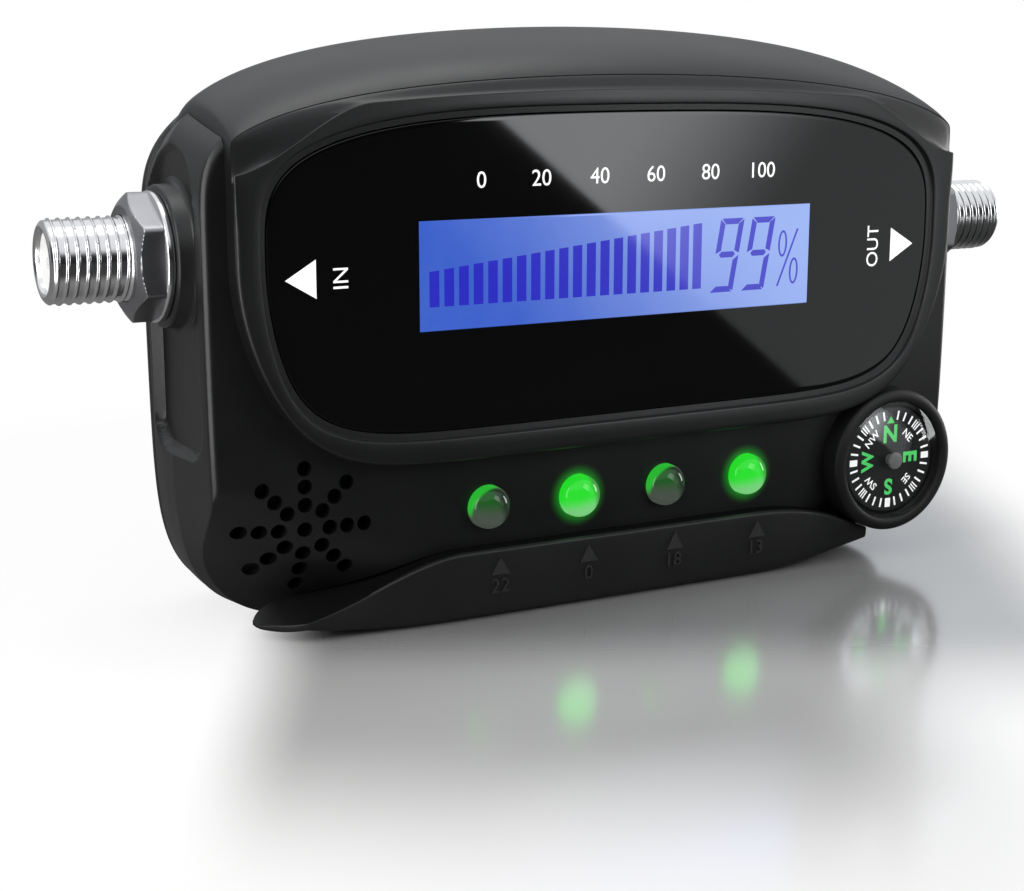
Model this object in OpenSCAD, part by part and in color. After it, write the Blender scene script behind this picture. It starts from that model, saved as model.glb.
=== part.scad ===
// Hand-held in-line meter for a dish: a moulded housing under an arched cowl, with a display window,
// four lamps, a buzzer grille, a compass and a threaded coaxial connector at each end.
// Sub-parts are drawn in the face frame: x across, y back from the window plane, z up from the
// connector axis. placed() moves that frame so that the part stands on z = 0, centred on its box.

/* [Housing] */
// Width over the cheeks
body_w = 104; // [98:1:114]
// Depth of the housing behind the window plane
body_d = 27; // [26:0.5:32]
// Height of the connector axis above the base
axis_h = 43.4; // [42.6:0.2:50]
// Height of the cowl's crown above the connector axis
crown_h = 25.2; // [24:0.2:30]
// Thickness of the moulded walls
wall = 2; // [1.6:0.1:2.4]
// Depth of the parting line between front and rear shell
seam_d = 21.5; // [21.4:0.1:22.5]
// Width of the rounded edge round the back
back_round = 4.2; // [3:0.1:4.4]
// Depth of the lamp band behind the window plane
band_d = 2.2; // [1.8:0.1:2.8]
// Width lost at the front edge of each cheek
cheek_draft = 0.8; // [0:0.1:1.4]
// Width lost on each side from the widest depth to the parting line
side_draft = 0.3; // [0.1:0.1:0.6]
// Depth of the rolled edge along a cheek
edge_d = 1.6; // [0.8:0.1:2]
// Width of the rolled edge along a cheek
edge_w = 4.5; // [3:0.1:6]
// Depth of the dome at the lower corners
dome_d = 8.6; // [6:0.2:9]
// Width of the dome at the lower corners
dome_w = 11; // [9:0.5:13]

/* [Cowl] */
// Width of a cheek that shows outside the cowl's end
cheek_w = 4; // [3.4:0.1:4.5]
// Height of the cowl's seat above the connector axis
shelf_h = 12.5; // [11.8:0.1:13.5]
// How far the cowl's face stands out of the window plane
lip_out = 0.8; // [0.4:0.1:1.4]
// Height of the crease over the window
crease_h = 17.6; // [17:0.1:19.5]
// Drop of the cowl's lower edge below the connector axis
cowl_drop = 23.5; // [22.9:0.1:24.5]
// Depth at which the cowl is highest
crown_d = 14; // [12:0.5:16]
// Fall of the crown from the middle to a cheek
crown_arch = 5.5; // [4:0.1:7]
// Fall of the crease from the middle to a cheek
crease_arch = 3.5; // [2.5:0.1:4.5]
// Step from the cowl's end down to the shoulder of a cheek
shoulder_step = 1.2; // [0.6:0.1:2]
// Width of the bevel along the cowl's lower edge
bevel_w = 1; // [0.5:0.1:1.5]
// Slant of the lower edges across the face, as a ratio
face_tilt = 0.035; // [0:0.005:0.05]

/* [Window and display] */
// Width of the bezel beside the window
bezel_side = 3; // [2.6:0.1:5]
// Height of the window's top above the connector axis
window_up = 16.1; // [15:0.1:16.6]
// Drop of the window's lower edge below the connector axis
window_drop = 20.8; // [18.5:0.1:21.2]
// Thickness of the window plate
window_t = 1.5; // [1:0.1:1.8]
// Width of the ledge that carries the window
ledge_w = 2.6; // [2:0.1:4]
// Width of the display glass
glass_w = 60; // [56:0.5:64]
// Height of the display glass
glass_h = 19; // [17:0.5:21]
// Thickness of the display glass
glass_t = 2.2; // [1.6:0.1:2.6]
// Height of the display's middle above the connector axis
glass_z = -2.3; // [-3.5:0.1:0]
// Thickness of the backlight plate
backlight_t = 3; // [2:0.1:3.6]
// Width of the bars of the display's carrier frame
frame_w = 2.5; // [1.5:0.1:4]
// Pins along the display's lower edge
lcd_pin_count = 14; // [6:1:18]
// Distance between those pins
lcd_pin_pitch = 2.54; // [2:0.01:2.8]
// Side of a display pin
lcd_pin_w = 0.5; // [0.4:0.1:0.8]

/* [Board] */
// Depth of the board's front face behind the window plane
board_d = 13.75; // [13.6:0.05:14.2]
// Thickness of the board
board_t = 1.6; // [1:0.1:2]
// Space between the board's ends and the inside of the cheeks
board_side = 4.4; // [4:0.1:6]
// Height of the board's top above the connector axis
board_up = 11; // [10.8:0.1:11.6]
// Drop of the board's lower edge below the connector axis
board_drop = 32.5; // [32:0.1:32.7]
// Width of the tuner's screening can
shield_w = 28; // [24:1:30]
// Height of the tuner's screening can
shield_h = 22; // [16:1:24]
// Depth of the tuner's screening can
shield_d = 5; // [3:0.5:7]
// Thickness of the screening can's sheet
shield_t = 0.5; // [0.3:0.1:0.8]
// Side of the meter's chip
chip_w = 12; // [8:1:16]
// Thickness of the meter's chip
chip_t = 1.6; // [1:0.1:2.5]
// Drop of the can and the chip below the connector axis
circuit_drop = 6; // [4:0.5:10]

/* [Lamps] */
// Diameter of a lamp
lamp_d = 5; // [4:0.1:5.4]
// Distance between lamps
lamp_pitch = 12.27; // [10:0.01:13]
// Middle of the lamp row across the face
lamp_x = 0.97; // [-2:0.01:2]
// Drop of the lamp row below the connector axis
lamp_drop = 30.2; // [29.5:0.1:30.6]
// How far a lamp's dome begins in front of the lamp band
lamp_out = 0.5; // [0:0.1:1]
// Length of a lamp's barrel behind its dome
lamp_l = 4.9; // [4.6:0.1:6]
// Width of the collar at a lamp's foot
lamp_collar = 0.4; // [0.2:0.1:0.6]
// Distance between a lamp's two legs
leg_pitch = 2.54; // [2:0.01:2.8]
// Side of a lamp's leg
leg_w = 0.5; // [0.4:0.1:0.8]

/* [Grille and buzzer] */
// Distance from the cheek's outside to the grille's middle
grille_in = 11.7; // [11.2:0.1:13]
// Drop of the grille's middle below the connector axis
grille_drop = 30.3; // [29.5:0.1:30.6]
// Spokes of holes in the grille
grille_spokes = 8; // [5:1:9]
// Holes along a spoke
grille_rows = 3; // [1:1:3]
// Radius of the innermost holes' circle
grille_first = 2.9; // [2.4:0.1:3]
// Step from one circle of holes to the next
grille_step = 2.1; // [1.9:0.05:2.15]
// Diameter of a grille hole
grille_hole = 1.6; // [1:0.1:1.7]
// Diameter of the buzzer
buzzer_dia = 14; // [10:0.5:14.5]
// Height of the buzzer
buzzer_h = 5; // [4:0.1:5.2]
// Thickness of the buzzer's case
buzzer_t = 1; // [0.6:0.1:1.4]
// Thickness of the buzzer's disc
disc_t = 0.4; // [0.2:0.1:0.6]

/* [Chin bar] */
// Height of the chin bar above the base in the middle
chin_h = 8.5; // [7:0.1:9]
// How far the chin bar stands out of the lamp band
chin_out = 2.4; // [1.5:0.1:3]
// Depth of the chin bar behind the lamp band
chin_in = 5; // [4:0.1:5.6]
// Left end of the chin bar
chin_left = -45.2; // [-45.4:0.1:-44]
// Right tip of the chin bar
chin_right = 38.5; // [37:0.5:40]
// Fall of the front edge towards the left end
chin_fall = 6.6; // [4:0.1:6.8]
// Fall of the top's back edge towards the left end
ledge_fall = 5; // [3:0.1:5.4]

/* [Compass] */
// Distance from the cheek's outside to the compass's middle
compass_in = 11.05; // [10.8:0.05:12]
// Drop of the compass's middle below the connector axis
compass_drop = 30.2; // [29.8:0.1:30.6]
// Outer diameter of the compass ring
compass_dia = 18.8; // [18.2:0.1:19.4]
// Width of the compass ring's rim
compass_rim = 1.6; // [1.3:0.1:1.8]
// How far the compass ring stands out of the window plane
compass_out = 1; // [0.6:0.1:1.6]
// Thickness of the compass ring's skirt
skirt_t = 0.8; // [0.6:0.1:1]
// Depth of the lens seat behind the window plane
seat_d = 0.2; // [0.1:0.05:0.25]
// How far the compass lens stands out of the window plane
lens_out = 2.6; // [2.4:0.1:3.4]
// Thickness of the compass lens
lens_t = 0.8; // [0.6:0.1:0.9]
// Height of the lens's straight rim in front of the window plane
lens_rim = 0.6; // [0.3:0.1:0.9]
// Gap round the compass card
card_gap = 0.3; // [0.3:0.05:0.8]
// Depth of the compass card behind the window plane
card_d = 0.3; // [0.25:0.05:0.6]
// Thickness of the compass card
card_t = 0.5; // [0.4:0.1:0.8]
// Height of the card's jewel cap above the card
jewel_h = 1.4; // [1.2:0.1:1.5]
// Diameter of the card's jewel cap
jewel_dia = 2.2; // [1.9:0.1:2.8]
// Thickness of the jewel over the pivot's point
jewel_t = 0.35; // [0.25:0.05:0.45]
// Diameter of the pivot pin
pivot_dia = 1; // [0.8:0.1:1.2]
// Length of the pivot pin's point
point_l = 0.4; // [0.3:0.1:0.5]
// Diameter of the card's magnet
magnet_dia = 8.4; // [6:0.1:9]
// Thickness of the card's magnet
magnet_t = 1; // [0.6:0.1:1.2]
// Depth of the compass cup's floor behind the window plane
cup_d = 3.4; // [3:0.1:4]
// Thickness of the compass cup's floor
cup_floor = 1; // [0.8:0.1:1.2]

/* [Connectors] */
// Diameter of the connector's thread, three eighths of an inch
thread_dia = 9.525; // [9.4:0.005:9.65]
// Depth of the connector axis behind the window plane
conn_d = 13.3; // [13.2:0.05:13.35]
// How far the threaded end stands out of the cheek
thread_out = 13.6; // [11:0.1:16]
// Chamfer of the thread's end
thread_chamfer = 0.8; // [0.4:0.1:1]
// How much thinner the shank under nut and wall is, in radius
shank_relief = 0.2; // [0.1:0.01:0.3]
// Diameter of the bore in the thread's end
port_dia = 6.8; // [6:0.1:7.4]
// Diameter of the hole for the cable's inner wire
wire_dia = 1.2; // [1.1:0.1:1.4]
// How far the insulator sits back from the thread's end
port_recess = 0.7; // [0.4:0.1:1.5]
// How far the contact sits back from the thread's end
contact_recess = 4; // [2:0.1:6]
// Diameter of the flange inside the housing
flange_dia = 13; // [11:0.5:14]
// Thickness of that flange
flange_t = 2; // [1.5:0.1:2.6]
// Depth of the flange's seat in the wall
flange_seat = 0.3; // [0.2:0.1:0.5]
// Diameter of the washer
washer_dia = 14.6; // [14:0.1:15]
// Thickness of the washer
washer_t = 0.9; // [0.6:0.1:1.2]
// Size of the hexagon nut across its flats
nut_af = 12.7; // [11:0.1:13]
// Thickness of the nut
nut_t = 3; // [2.5:0.1:4]
// Radius left by the chamfer at the nut's outer face
nut_face_r = 5.3; // [5.1:0.1:5.8]
// Growth of the nut's chamfer, radius over depth
nut_slope = 1.55; // [1.4:0.05:2]
// How far the pad for the washer stands out of the cheek
pad_out = 0.85; // [0.5:0.05:1.2]
// Depth of the arched recess round the connector
recess_d = 1.4; // [0.8:0.1:1.6]
// Width of the arched recess
recess_w = 15.8; // [15:0.1:16.4]
// How far the recess lies in front of the connector axis
recess_fore = 0.7; // [0.4:0.1:1]
// Height of the arched recess above the connector axis
recess_up = 12.6; // [10:0.1:13]
// Drop of the arched recess below the connector axis
recess_drop = 22.5; // [14:0.1:23]

/* [Screws] */
// Diameter of a case screw
screw_dia = 2.8; // [2.4:0.1:3]
// Diameter of a screw's head
head_dia = 5.4; // [4.8:0.1:5.6]
// Height of a screw's head
head_h = 2; // [1.4:0.1:2.2]
// How far a screw's head sits below the back
head_sink = 0.6; // [0.3:0.1:1]
// Length of a case screw
screw_l = 16; // [15:0.5:16.5]
// Width of the cross slot in a screw's head
slot_w = 0.8; // [0.6:0.1:1]
// Distance from the cheek's outside to an upper screw
screw_in = 12; // [11:0.1:14]
// Height of the upper screws above the connector axis
screw_up = 7; // [6:0.1:7.5]
// Half the distance between the lower screws
screw_low_x = 20; // [14:0.5:24]
// Height of the lower screws above the base
screw_low_z = 7.8; // [7.7:0.1:8]

/* [Clearances] */
// Gap between fixed pieces that slip together
fit_gap = 0.05; // [0.02:0.01:0.1]
// Radial gap between the card's jewel and the pivot
run_gap = 0.06; // [0.03:0.01:0.09]
// Gap between the display glass and the window
glass_gap = 0.2; // [0.1:0.05:0.4]

/* [Hidden] */
$fn = 64;
steps = 96;
eps = 0.01;
far = 20;

half_w = body_w / 2;
front_half = half_w - cheek_draft;
seam_half = half_w - side_draft;
cowl_half = half_w - cheek_w;
window_half = cowl_half - bezel_side;
face_y = -(body_d - lens_out) / 2;
inside_d = band_d + wall;
back_in = body_d - wall;
cavity_half = half_w - recess_d - wall;
// The cavity rises to an arch that leaves a seat for the cowl along each cheek
cavity_rise = 1.5 * shelf_h;
cavity_n = 4;
// Floor of the cavity under the lamps, and depth at which it opens out below them
lamp_floor = lamp_drop + lamp_d / 2 + lamp_collar + wall / 4;
low_cavity_d = board_d - wall / 2;
rear_in = wall + back_round / 5;
boss_r = head_dia / 2;
rear_boss_r = boss_r + wall / 2;
board_back = board_d + board_t;
grille_x = -(half_w - grille_in);
pocket_d = board_d - buzzer_h - wall / 4;
chin_back = band_d + chin_in;
compass_x = half_w - compass_in;
compass_r = compass_dia / 2;
lens_r = compass_r - compass_rim;
cup_r = compass_r - skirt_t - fit_gap;
cup_in = lens_r - lens_t / 2;
cup_back = cup_d + cup_floor;
card_r = cup_in - card_gap;
jewel_d = card_d - jewel_h;
washer_x = half_w + pad_out;
pad_r = min(washer_dia / 2 + wall / 3, seam_d - conn_d - fit_gap);
nut_x = washer_x + washer_t;
nut_end = nut_x + nut_t;
thread_end = half_w + thread_out;
thread_r = thread_dia / 2;
shank_r = thread_r - shank_relief;
flange_x = cavity_half + flange_seat;
glass_front = window_t + glass_gap;
backlight_front = glass_front + glass_t;
frame_front = backlight_front + backlight_t;
head_seat = body_d - head_h - head_sink;
screw_tip = head_seat - screw_l;
screw_places = [
    [-(half_w - screw_in), screw_up],
    [half_w - screw_in, screw_up],
    [-screw_low_x, screw_low_z - axis_h],
    [screw_low_x, screw_low_z - axis_h]
];

// Powers of the rounded outlines: higher is squarer
body_top_n = 5.4;
back_top_n = 4;
body_low_n = 8;
lamp_floor_n = 5;
window_top_n = 6;
window_low_n = 3.2;
window_arch = 6.5;
// Share of the width that the sides lose down to the base
side_barrel = 0.01;
crown_n = 1.7;
edge_n = 4;
dome_n = 1.8;
// Fall of the crown behind its highest depth, over the depth squared
crown_fall = 0.012;
// Where the dome of a lower corner begins and is full: heights above the base, distances in from the cheek
dome_from_h = 19;
dome_full_h = 7;
dome_from_in = 26;
dome_full_in = 14;

// Outline maths

// Radius of a rounded outline with half sizes a and b, at the angle phi
function reach(phi, a, b, n) = 1 / pow(pow(abs(cos(phi)) / a, n) + pow(abs(sin(phi)) / b, n), 1 / n);

// A point of an outline: s is [half width above, half width below, rise, drop, power above, power below,
// arch of the top, slant of the lower edge, barrel of the sides below]
function rim_point(phi, s) =
    let (top = sin(phi) >= 0)
    let (r = top ? reach(phi, s[0], s[2], s[4]) : reach(phi, s[1], s[3], s[5]))
    let (x = r * cos(phi))
    let (z = r * sin(phi))
    top ? [x, z * (1 - s[6] / s[2] * pow(x / s[0], 2))]
        : [x * (1 - s[8] * pow(z / s[3], 2)), z - s[7] * x * z / s[3]];
function rim(s) = [for (i = [0:steps - 1]) rim_point(360 * i / steps, s)];
function ring_at(s, d) = [for (p = rim(s)) [p[0], d, p[1]]];

// Smooth step from 0 at a to 1 at b
function ramp(v, a, b) = let (t = max(0, min(1, (v - a) / (b - a)))) t * t * (3 - 2 * t);

// Height, arch and squareness of the cowl's crown at a depth behind the window plane
function rise_share(d) =
    pow(1 - pow(1 - min(1, (d + lip_out) / (crown_d + lip_out)), crown_n), 1 / crown_n);
function crown(d) =
    crease_h + (crown_h - crease_h) * rise_share(d) - crown_fall * pow(max(0, d - crown_d), 2);
function arch(d) = crease_arch + (crown_arch - crease_arch) * rise_share(d);
function top_n(d) = body_top_n + (back_top_n - body_top_n) * ramp(d, crown_d, seam_d);

// Outlines of the housing, the cowl and the window; in is how far each is drawn in from its edge
function body_rim(a, d, in = 0) =
    [a - in, a - in, crown(d) - shoulder_step - in, axis_h - in, top_n(d), body_low_n, arch(d), 0,
     side_barrel];
function back_rim(in) =
    [seam_half - in, seam_half - in, crown(seam_d) - in, axis_h - in, back_top_n, body_low_n, arch(seam_d), 0,
     side_barrel];
function cowl_rim(d, in = 0) =
    [half_w, cowl_half, crown(d), cowl_drop - in, top_n(d), window_low_n, arch(d), face_tilt, 0];
function window_rim(in = 0) =
    [window_half - in, window_half - in, window_up - in, window_drop - in, window_top_n, window_low_n,
     window_arch, face_tilt, 0];

// Depth of the front shell's face at a point that lies a distance in from its edge
function dome_share(p) =
    ramp(-p[1], axis_h - dome_from_h, axis_h - dome_full_h)
    * ramp(abs(p[0]), half_w - dome_from_in, half_w - dome_full_in);
function face_depth(p, in) = band_d + max(
    edge_d * pow(max(0, 1 - in / edge_w), edge_n),
    dome_d * pow(max(0, 1 - in / dome_w), dome_n) * dome_share(p)
);
function face_ring(in) =
    [for (p = rim(body_rim(front_half, inside_d, in))) [p[0], face_depth(p, in), p[1]]];

// Shared shapes

// The part stands on z = 0, centred on its box
module placed() translate([0, face_y, axis_h]) children();

// Closed skin through rings of points
module loft(rings) {
    n = len(rings[0]);
    last = len(rings) - 1;
    sides = [
        for (k = [0:last - 1], i = [0:n - 1])
            let (a = k * n + i)
            let (b = k * n + (i + 1) % n)
            each [[a, b, b + n], [a, b + n, a + n]]
    ];
    front = [for (i = [n - 1:-1:0]) i];
    back = [for (i = [0:n - 1]) last * n + i];
    polyhedron([for (r = rings) each r], concat([front], sides, [back]));
}

// A flat outline drawn out from depth d0 to depth d1
module through(d0, d1) translate([0, d1, 0]) rotate([90, 0, 0]) linear_extrude(d1 - d0) children();

// A round post along the depth
module post(x, z, d0, d1, r) translate([x, d1, z]) rotate([90, 0, 0]) cylinder(r = r, h = d1 - d0);

// A block given by its middle across and up, and by its depths
module block(x, z, w, h, d0, d1) translate([x - w / 2, d0, z - h / 2]) cube([w, d1 - d0, h]);

// A profile of [radius, depth] points turned about the compass axis
module turned(profile) translate([compass_x, 0, -compass_drop]) rotate([90, 0, 0])
    rotate_extrude() polygon([for (p = profile) [p[0], -p[1]]]);

// A round bar along the connector axis, at the right end
module bar(x0, x1, r) translate([x0, conn_d, 0]) rotate([0, 90, 0]) cylinder(r = r, h = x1 - x0);

// The same shape at the left end, mirrored
module at_end(side) mirror([side < 0 ? 1 : 0, 0, 0]) children();

// Housing

// Inside of the front shell: lamps and board above, an open space behind the chin below
module cavity() {
    through(inside_d, seam_d + eps)
        polygon(rim([cavity_half, cavity_half, cavity_rise, lamp_floor, cavity_n, lamp_floor_n, 0, 0, 0]));
    through(low_cavity_d, seam_d + eps)
        polygon(rim([cavity_half, cavity_half, shelf_h / 2, axis_h - wall, cavity_n, body_low_n, 0, 0,
                     side_barrel]));
    post(grille_x, -grille_drop, pocket_d, seam_d + eps, buzzer_dia / 2 + wall / 2);
}

// Arched recess in a cheek
module side_recess(side) at_end(side) {
    mid = conn_d - recess_fore;
    r = recess_w / 2;
    translate([half_w - recess_d, mid, recess_up - r]) rotate([0, 90, 0]) cylinder(r = r, h = far);
    translate([half_w - recess_d, mid - r, -recess_drop]) cube([far, recess_w, recess_drop + recess_up - r]);
}

module grille_holes() {
    post(grille_x, -grille_drop, -far, board_d - buzzer_h, grille_hole / 2);
    for (s = [0:grille_spokes - 1], k = [0:grille_rows - 1])
        let (r = grille_first + k * grille_step)
        let (a = 360 * s / grille_spokes)
            post(grille_x + r * cos(a), -grille_drop + r * sin(a), -far, board_d - buzzer_h, grille_hole / 2);
}

module front_shell() color([0.07, 0.07, 0.075]) placed() difference() {
    union() {
        difference() {
            loft(concat(
                [for (t = [1, 0.78, 0.6, 0.42, 0.28, 0.17, 0.09, 0.03, 0]) face_ring(dome_w * t)],
                [ring_at(body_rim(half_w, crown_d), crown_d)],
                [ring_at(body_rim(half_w - side_draft / 4, (crown_d + seam_d) / 2), (crown_d + seam_d) / 2)],
                [ring_at(body_rim(seam_half, seam_d), seam_d)]
            ));
            for (side = [-1, 1]) side_recess(side);
        }
        for (side = [-1, 1]) at_end(side) bar(half_w - recess_d - wall / 2, washer_x, pad_r);
    }
    difference() {
        cavity();
        post(compass_x, -compass_drop, 0, cup_back + wall, compass_r + wall);
        for (p = screw_places) post(p[0], p[1], 0, p[1] > 0 ? board_d : seam_d + far, boss_r);
    }
    for (p = screw_places)
        post(p[0], p[1], screw_tip - wall / 4, seam_d + far, screw_dia / 2 + fit_gap);
    translate([-cowl_half - fit_gap, -far, shelf_h]) cube([2 * (cowl_half + fit_gap), 3 * far, 2 * far]);
    block(0, glass_z, glass_w + 2 * fit_gap, glass_h + 2 * fit_gap, 0, inside_d + eps);
    for (i = [0:3]) post(lamp_at(i), -lamp_drop, -far, inside_d + eps, lamp_d / 2 + fit_gap);
    post(compass_x, -compass_drop, -far, cup_back, compass_r + fit_gap);
    grille_holes();
    chin_seat();
    for (side = [-1, 1]) at_end(side) {
        bar(0, half_w + far, thread_r + fit_gap);
        bar(cavity_half - flange_t, flange_x, flange_dia / 2 + fit_gap);
    }
}

module rear_shell() color([0.06, 0.06, 0.065]) placed() difference() {
    bulge = body_d - seam_d;
    union() {
        difference() {
            loft([
                for (t = [0, 0.3, 0.55, 0.75, 0.9, 1])
                    ring_at(back_rim(back_round * (1 - sqrt(1 - t * t))), seam_d + bulge * t)
            ]);
            through(seam_d - eps, back_in) polygon(rim(back_rim(rear_in)));
        }
        for (p = screw_places)
            post(p[0], p[1], p[1] > 0 ? board_back : seam_d, body_d - wall / 2, rear_boss_r);
    }
    for (p = screw_places) {
        post(p[0], p[1], 0, body_d, screw_dia / 2 + fit_gap);
        post(p[0], p[1], head_seat, body_d + far, head_dia / 2 + fit_gap);
    }
}

module face_cowl() color([0.09, 0.09, 0.095]) placed() difference() {
    loft(concat(
        [ring_at(cowl_rim(-lip_out, bevel_w), -lip_out)],
        [for (t = [0.02, 0.15, 0.32, 0.52, 0.75, 1]) ring_at(cowl_rim(crown_d * t), crown_d * t)],
        [for (d = [(crown_d + seam_d) / 2, seam_d]) ring_at(cowl_rim(d), d)]
    ));
    for (side = [-1, 1]) at_end(side) translate([cowl_half, -far, -axis_h]) cube([far, 3 * far, 3 * axis_h]);
    translate([-body_w, band_d, -2 * axis_h]) cube([2 * body_w, body_d, 2 * axis_h + shelf_h]);
    through(-far, window_t) polygon(rim(window_rim()));
    through(-far, inside_d) polygon(rim(window_rim(ledge_w)));
    through(inside_d, seam_d + eps)
        polygon(rim([cowl_half - wall, cowl_half - wall, crown(inside_d) - wall, cowl_drop, body_top_n,
                     body_top_n, arch(inside_d), 0, 0]));
    post(compass_x, -compass_drop, -far, band_d + eps, compass_r + fit_gap);
}

// Chin bar

// Fall of the top, rise of the foot and setback of the front, at the right tip and at the left end
tip_fall = 4.5;
tip_rise = 2.4;
tip_back = 1.6;
end_rise = 2.8;
end_back = 3.2;
taper_back = 1.5;
// Length of the rounding at the left end, start of the taper past the middle, and least height of the bar
end_l = 5;
taper_shift = 1.5;
chin_least = 0.9;

// Shares of the taper to the left end, of the rounding there, and of the taper to the right tip
function chin_taper(x) = ramp(-x, -chin_left / 2 - taper_shift, -chin_left);
function chin_end(x) = ramp(-x, -chin_left - end_l, -chin_left);
function chin_tip(x) = max(0, (x - chin_right / 2) / (chin_right / 2));
function chin_sweep(x) = pow(max(0, (-x + chin_left / 2) / (-chin_left / 2)), 2.6);

// Lines of the bar along the face: front edge, back edge of the top, foot and front
function chin_top(x) = chin_h - axis_h - tip_fall * pow(chin_tip(x), 2.2);
function chin_edge(x) = chin_top(x) - chin_fall * chin_taper(x);
function chin_ledge(x) = chin_top(x) - ledge_fall * chin_taper(x);
function chin_foot(x) =
    min(chin_edge(x) - chin_least, tip_rise * pow(chin_tip(x), 2) + end_rise * chin_sweep(x) - axis_h);
function chin_front(x) =
    band_d - chin_out + taper_back * chin_taper(x) + end_back * chin_end(x) + tip_back * pow(chin_tip(x), 2);

// Outline of the bar at one place: points from the foot of its back, over the rounded front, to its top
function chin_section(x) =
    let (edge = chin_edge(x))
    let (foot = chin_foot(x))
    let (front = chin_front(x))
    let (back = chin_back - fit_gap)
    let (h = edge - foot)
    let (b = min(1, h / 4))
    [for (p = [
        [back, foot], [front + 3 * b, foot], [front + 1.7 * b, foot + 0.07 * h],
        [front + 0.7 * b, foot + 0.22 * h], [front + 0.1 * b, edge - 0.5 * h], [front, edge - b],
        [front + 0.3 * b, edge - 0.3 * b], [front + 1.2 * b, edge], [back, chin_ledge(x)]
    ]) [x, p[0], p[1]]];

chin_places = [for (t = [0, 0.03, 0.07, 0.12, 0.18, 0.25, 0.33, 0.5, 0.7, 0.8, 0.88, 0.95, 1])
    chin_left + (chin_right - chin_left) * t];

// Seat of the chin bar along the front of the base
module chin_seat() through(-far, chin_back) polygon(concat(
    [[chin_left - fit_gap, -2 * axis_h], [chin_left - fit_gap, chin_ledge(chin_left) + fit_gap]],
    [for (x = chin_places) [x, chin_ledge(x) + fit_gap]],
    [[chin_right + fit_gap, chin_ledge(chin_right) + fit_gap], [chin_right + fit_gap, -2 * axis_h]]
));

module chin_bar() color([0.07, 0.07, 0.075]) placed() difference() {
    loft([for (x = chin_places) chin_section(x)]);
    post(compass_x, -compass_drop, -far, body_d, compass_r + fit_gap);
}

// Window and display

module display_window() color([0.02, 0.02, 0.025]) placed()
    through(0, window_t) polygon(rim(window_rim(fit_gap)));

module lcd_glass() color([0.25, 0.4, 0.85]) placed()
    block(0, glass_z, glass_w, glass_h, glass_front, glass_front + glass_t);

module backlight_plate() color([0.9, 0.93, 1]) placed()
    block(0, glass_z, glass_w - 2 * frame_w, glass_h - 4 * lcd_pin_w, backlight_front, frame_front);

module lcd_frame() color([0.2, 0.2, 0.2]) placed() {
    w = glass_w - frame_w;
    h = glass_h - 4 * lcd_pin_w;
    difference() {
        block(0, glass_z, w, h, frame_front, board_d);
        block(0, glass_z, w - 2 * frame_w, h - 2 * frame_w, frame_front - eps, board_d + eps);
    }
}

module lcd_pins() color([0.8, 0.8, 0.78]) placed()
    for (i = [0:lcd_pin_count - 1])
        block((i - (lcd_pin_count - 1) / 2) * lcd_pin_pitch, glass_z - glass_h / 2 + lcd_pin_w / 2 + fit_gap,
            lcd_pin_w, lcd_pin_w, backlight_front, board_d);

// Board

module main_board() color([0.05, 0.3, 0.16]) placed() through(board_d, board_back) difference() {
    translate([-cavity_half + board_side, -board_drop])
        square([2 * (cavity_half - board_side), board_drop + board_up]);
    for (p = screw_places) translate(p) circle(d = screw_dia + 4 * fit_gap);
}

module tuner_shield() color([0.75, 0.76, 0.78]) placed() {
    x = -cavity_half * 0.45;
    difference() {
        block(x, -circuit_drop, shield_w, shield_h, board_back, board_back + shield_d);
        block(x, -circuit_drop, shield_w - 2 * shield_t, shield_h - 2 * shield_t, board_back - eps,
            board_back + shield_d - shield_t);
    }
}

module meter_chip() color([0.1, 0.1, 0.1]) placed()
    block(cavity_half / 3, -circuit_drop, chip_w, chip_w, board_back, board_back + chip_t);

module buzzer_case() color([0.12, 0.12, 0.12]) placed() difference() {
    front = board_d - buzzer_h;
    post(grille_x, -grille_drop, front, board_d, buzzer_dia / 2);
    post(grille_x, -grille_drop, front + buzzer_t, board_d + eps, buzzer_dia / 2 - buzzer_t);
    post(grille_x, -grille_drop, front - eps, board_d, buzzer_t);
}

module buzzer_disc() color([0.85, 0.7, 0.35]) placed()
    post(grille_x, -grille_drop, board_d - buzzer_h / 2, board_d - buzzer_h / 2 + disc_t,
        buzzer_dia / 2 - buzzer_t - fit_gap);

// Lamps

function lamp_at(i) = lamp_x + (i - 1.5) * lamp_pitch;

module lamp(i, tint) color(tint) placed() {
    front = band_d - lamp_out;
    foot = front + lamp_l;
    post(lamp_at(i), -lamp_drop, front, foot, lamp_d / 2);
    post(lamp_at(i), -lamp_drop, foot - 2 * lamp_collar, foot, lamp_d / 2 + lamp_collar);
    intersection() {
        translate([lamp_at(i), front, -lamp_drop]) sphere(d = lamp_d);
        post(lamp_at(i), -lamp_drop, front - lamp_d, front + eps, lamp_d);
    }
}

module lamp_legs() color([0.8, 0.8, 0.78]) placed()
    for (i = [0:3], s = [-1, 1])
        block(lamp_at(i) + s * leg_pitch / 2, -lamp_drop, leg_w, leg_w, band_d - lamp_out + lamp_l, board_d);

// Compass

module compass_ring() color([0.06, 0.06, 0.065]) placed() turned([
    [lens_r, compass_rim * 0.3 - compass_out],
    [lens_r + compass_rim * 0.3, compass_rim * 0.03 - compass_out],
    [lens_r + compass_rim * 0.55, -compass_out],
    [compass_r - compass_rim * 0.25, compass_rim * 0.2 - compass_out],
    [compass_r, compass_rim * 0.6 - compass_out],
    [compass_r, cup_back], [cup_r + fit_gap, cup_back], [cup_r + fit_gap, seat_d], [lens_r, seat_d]
]);

module compass_cup() color([0.9, 0.9, 0.9]) placed() turned([
    [0, cup_d], [cup_in, cup_d], [cup_in, seat_d], [cup_r, seat_d], [cup_r, cup_back], [0, cup_back]
]);

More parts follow.
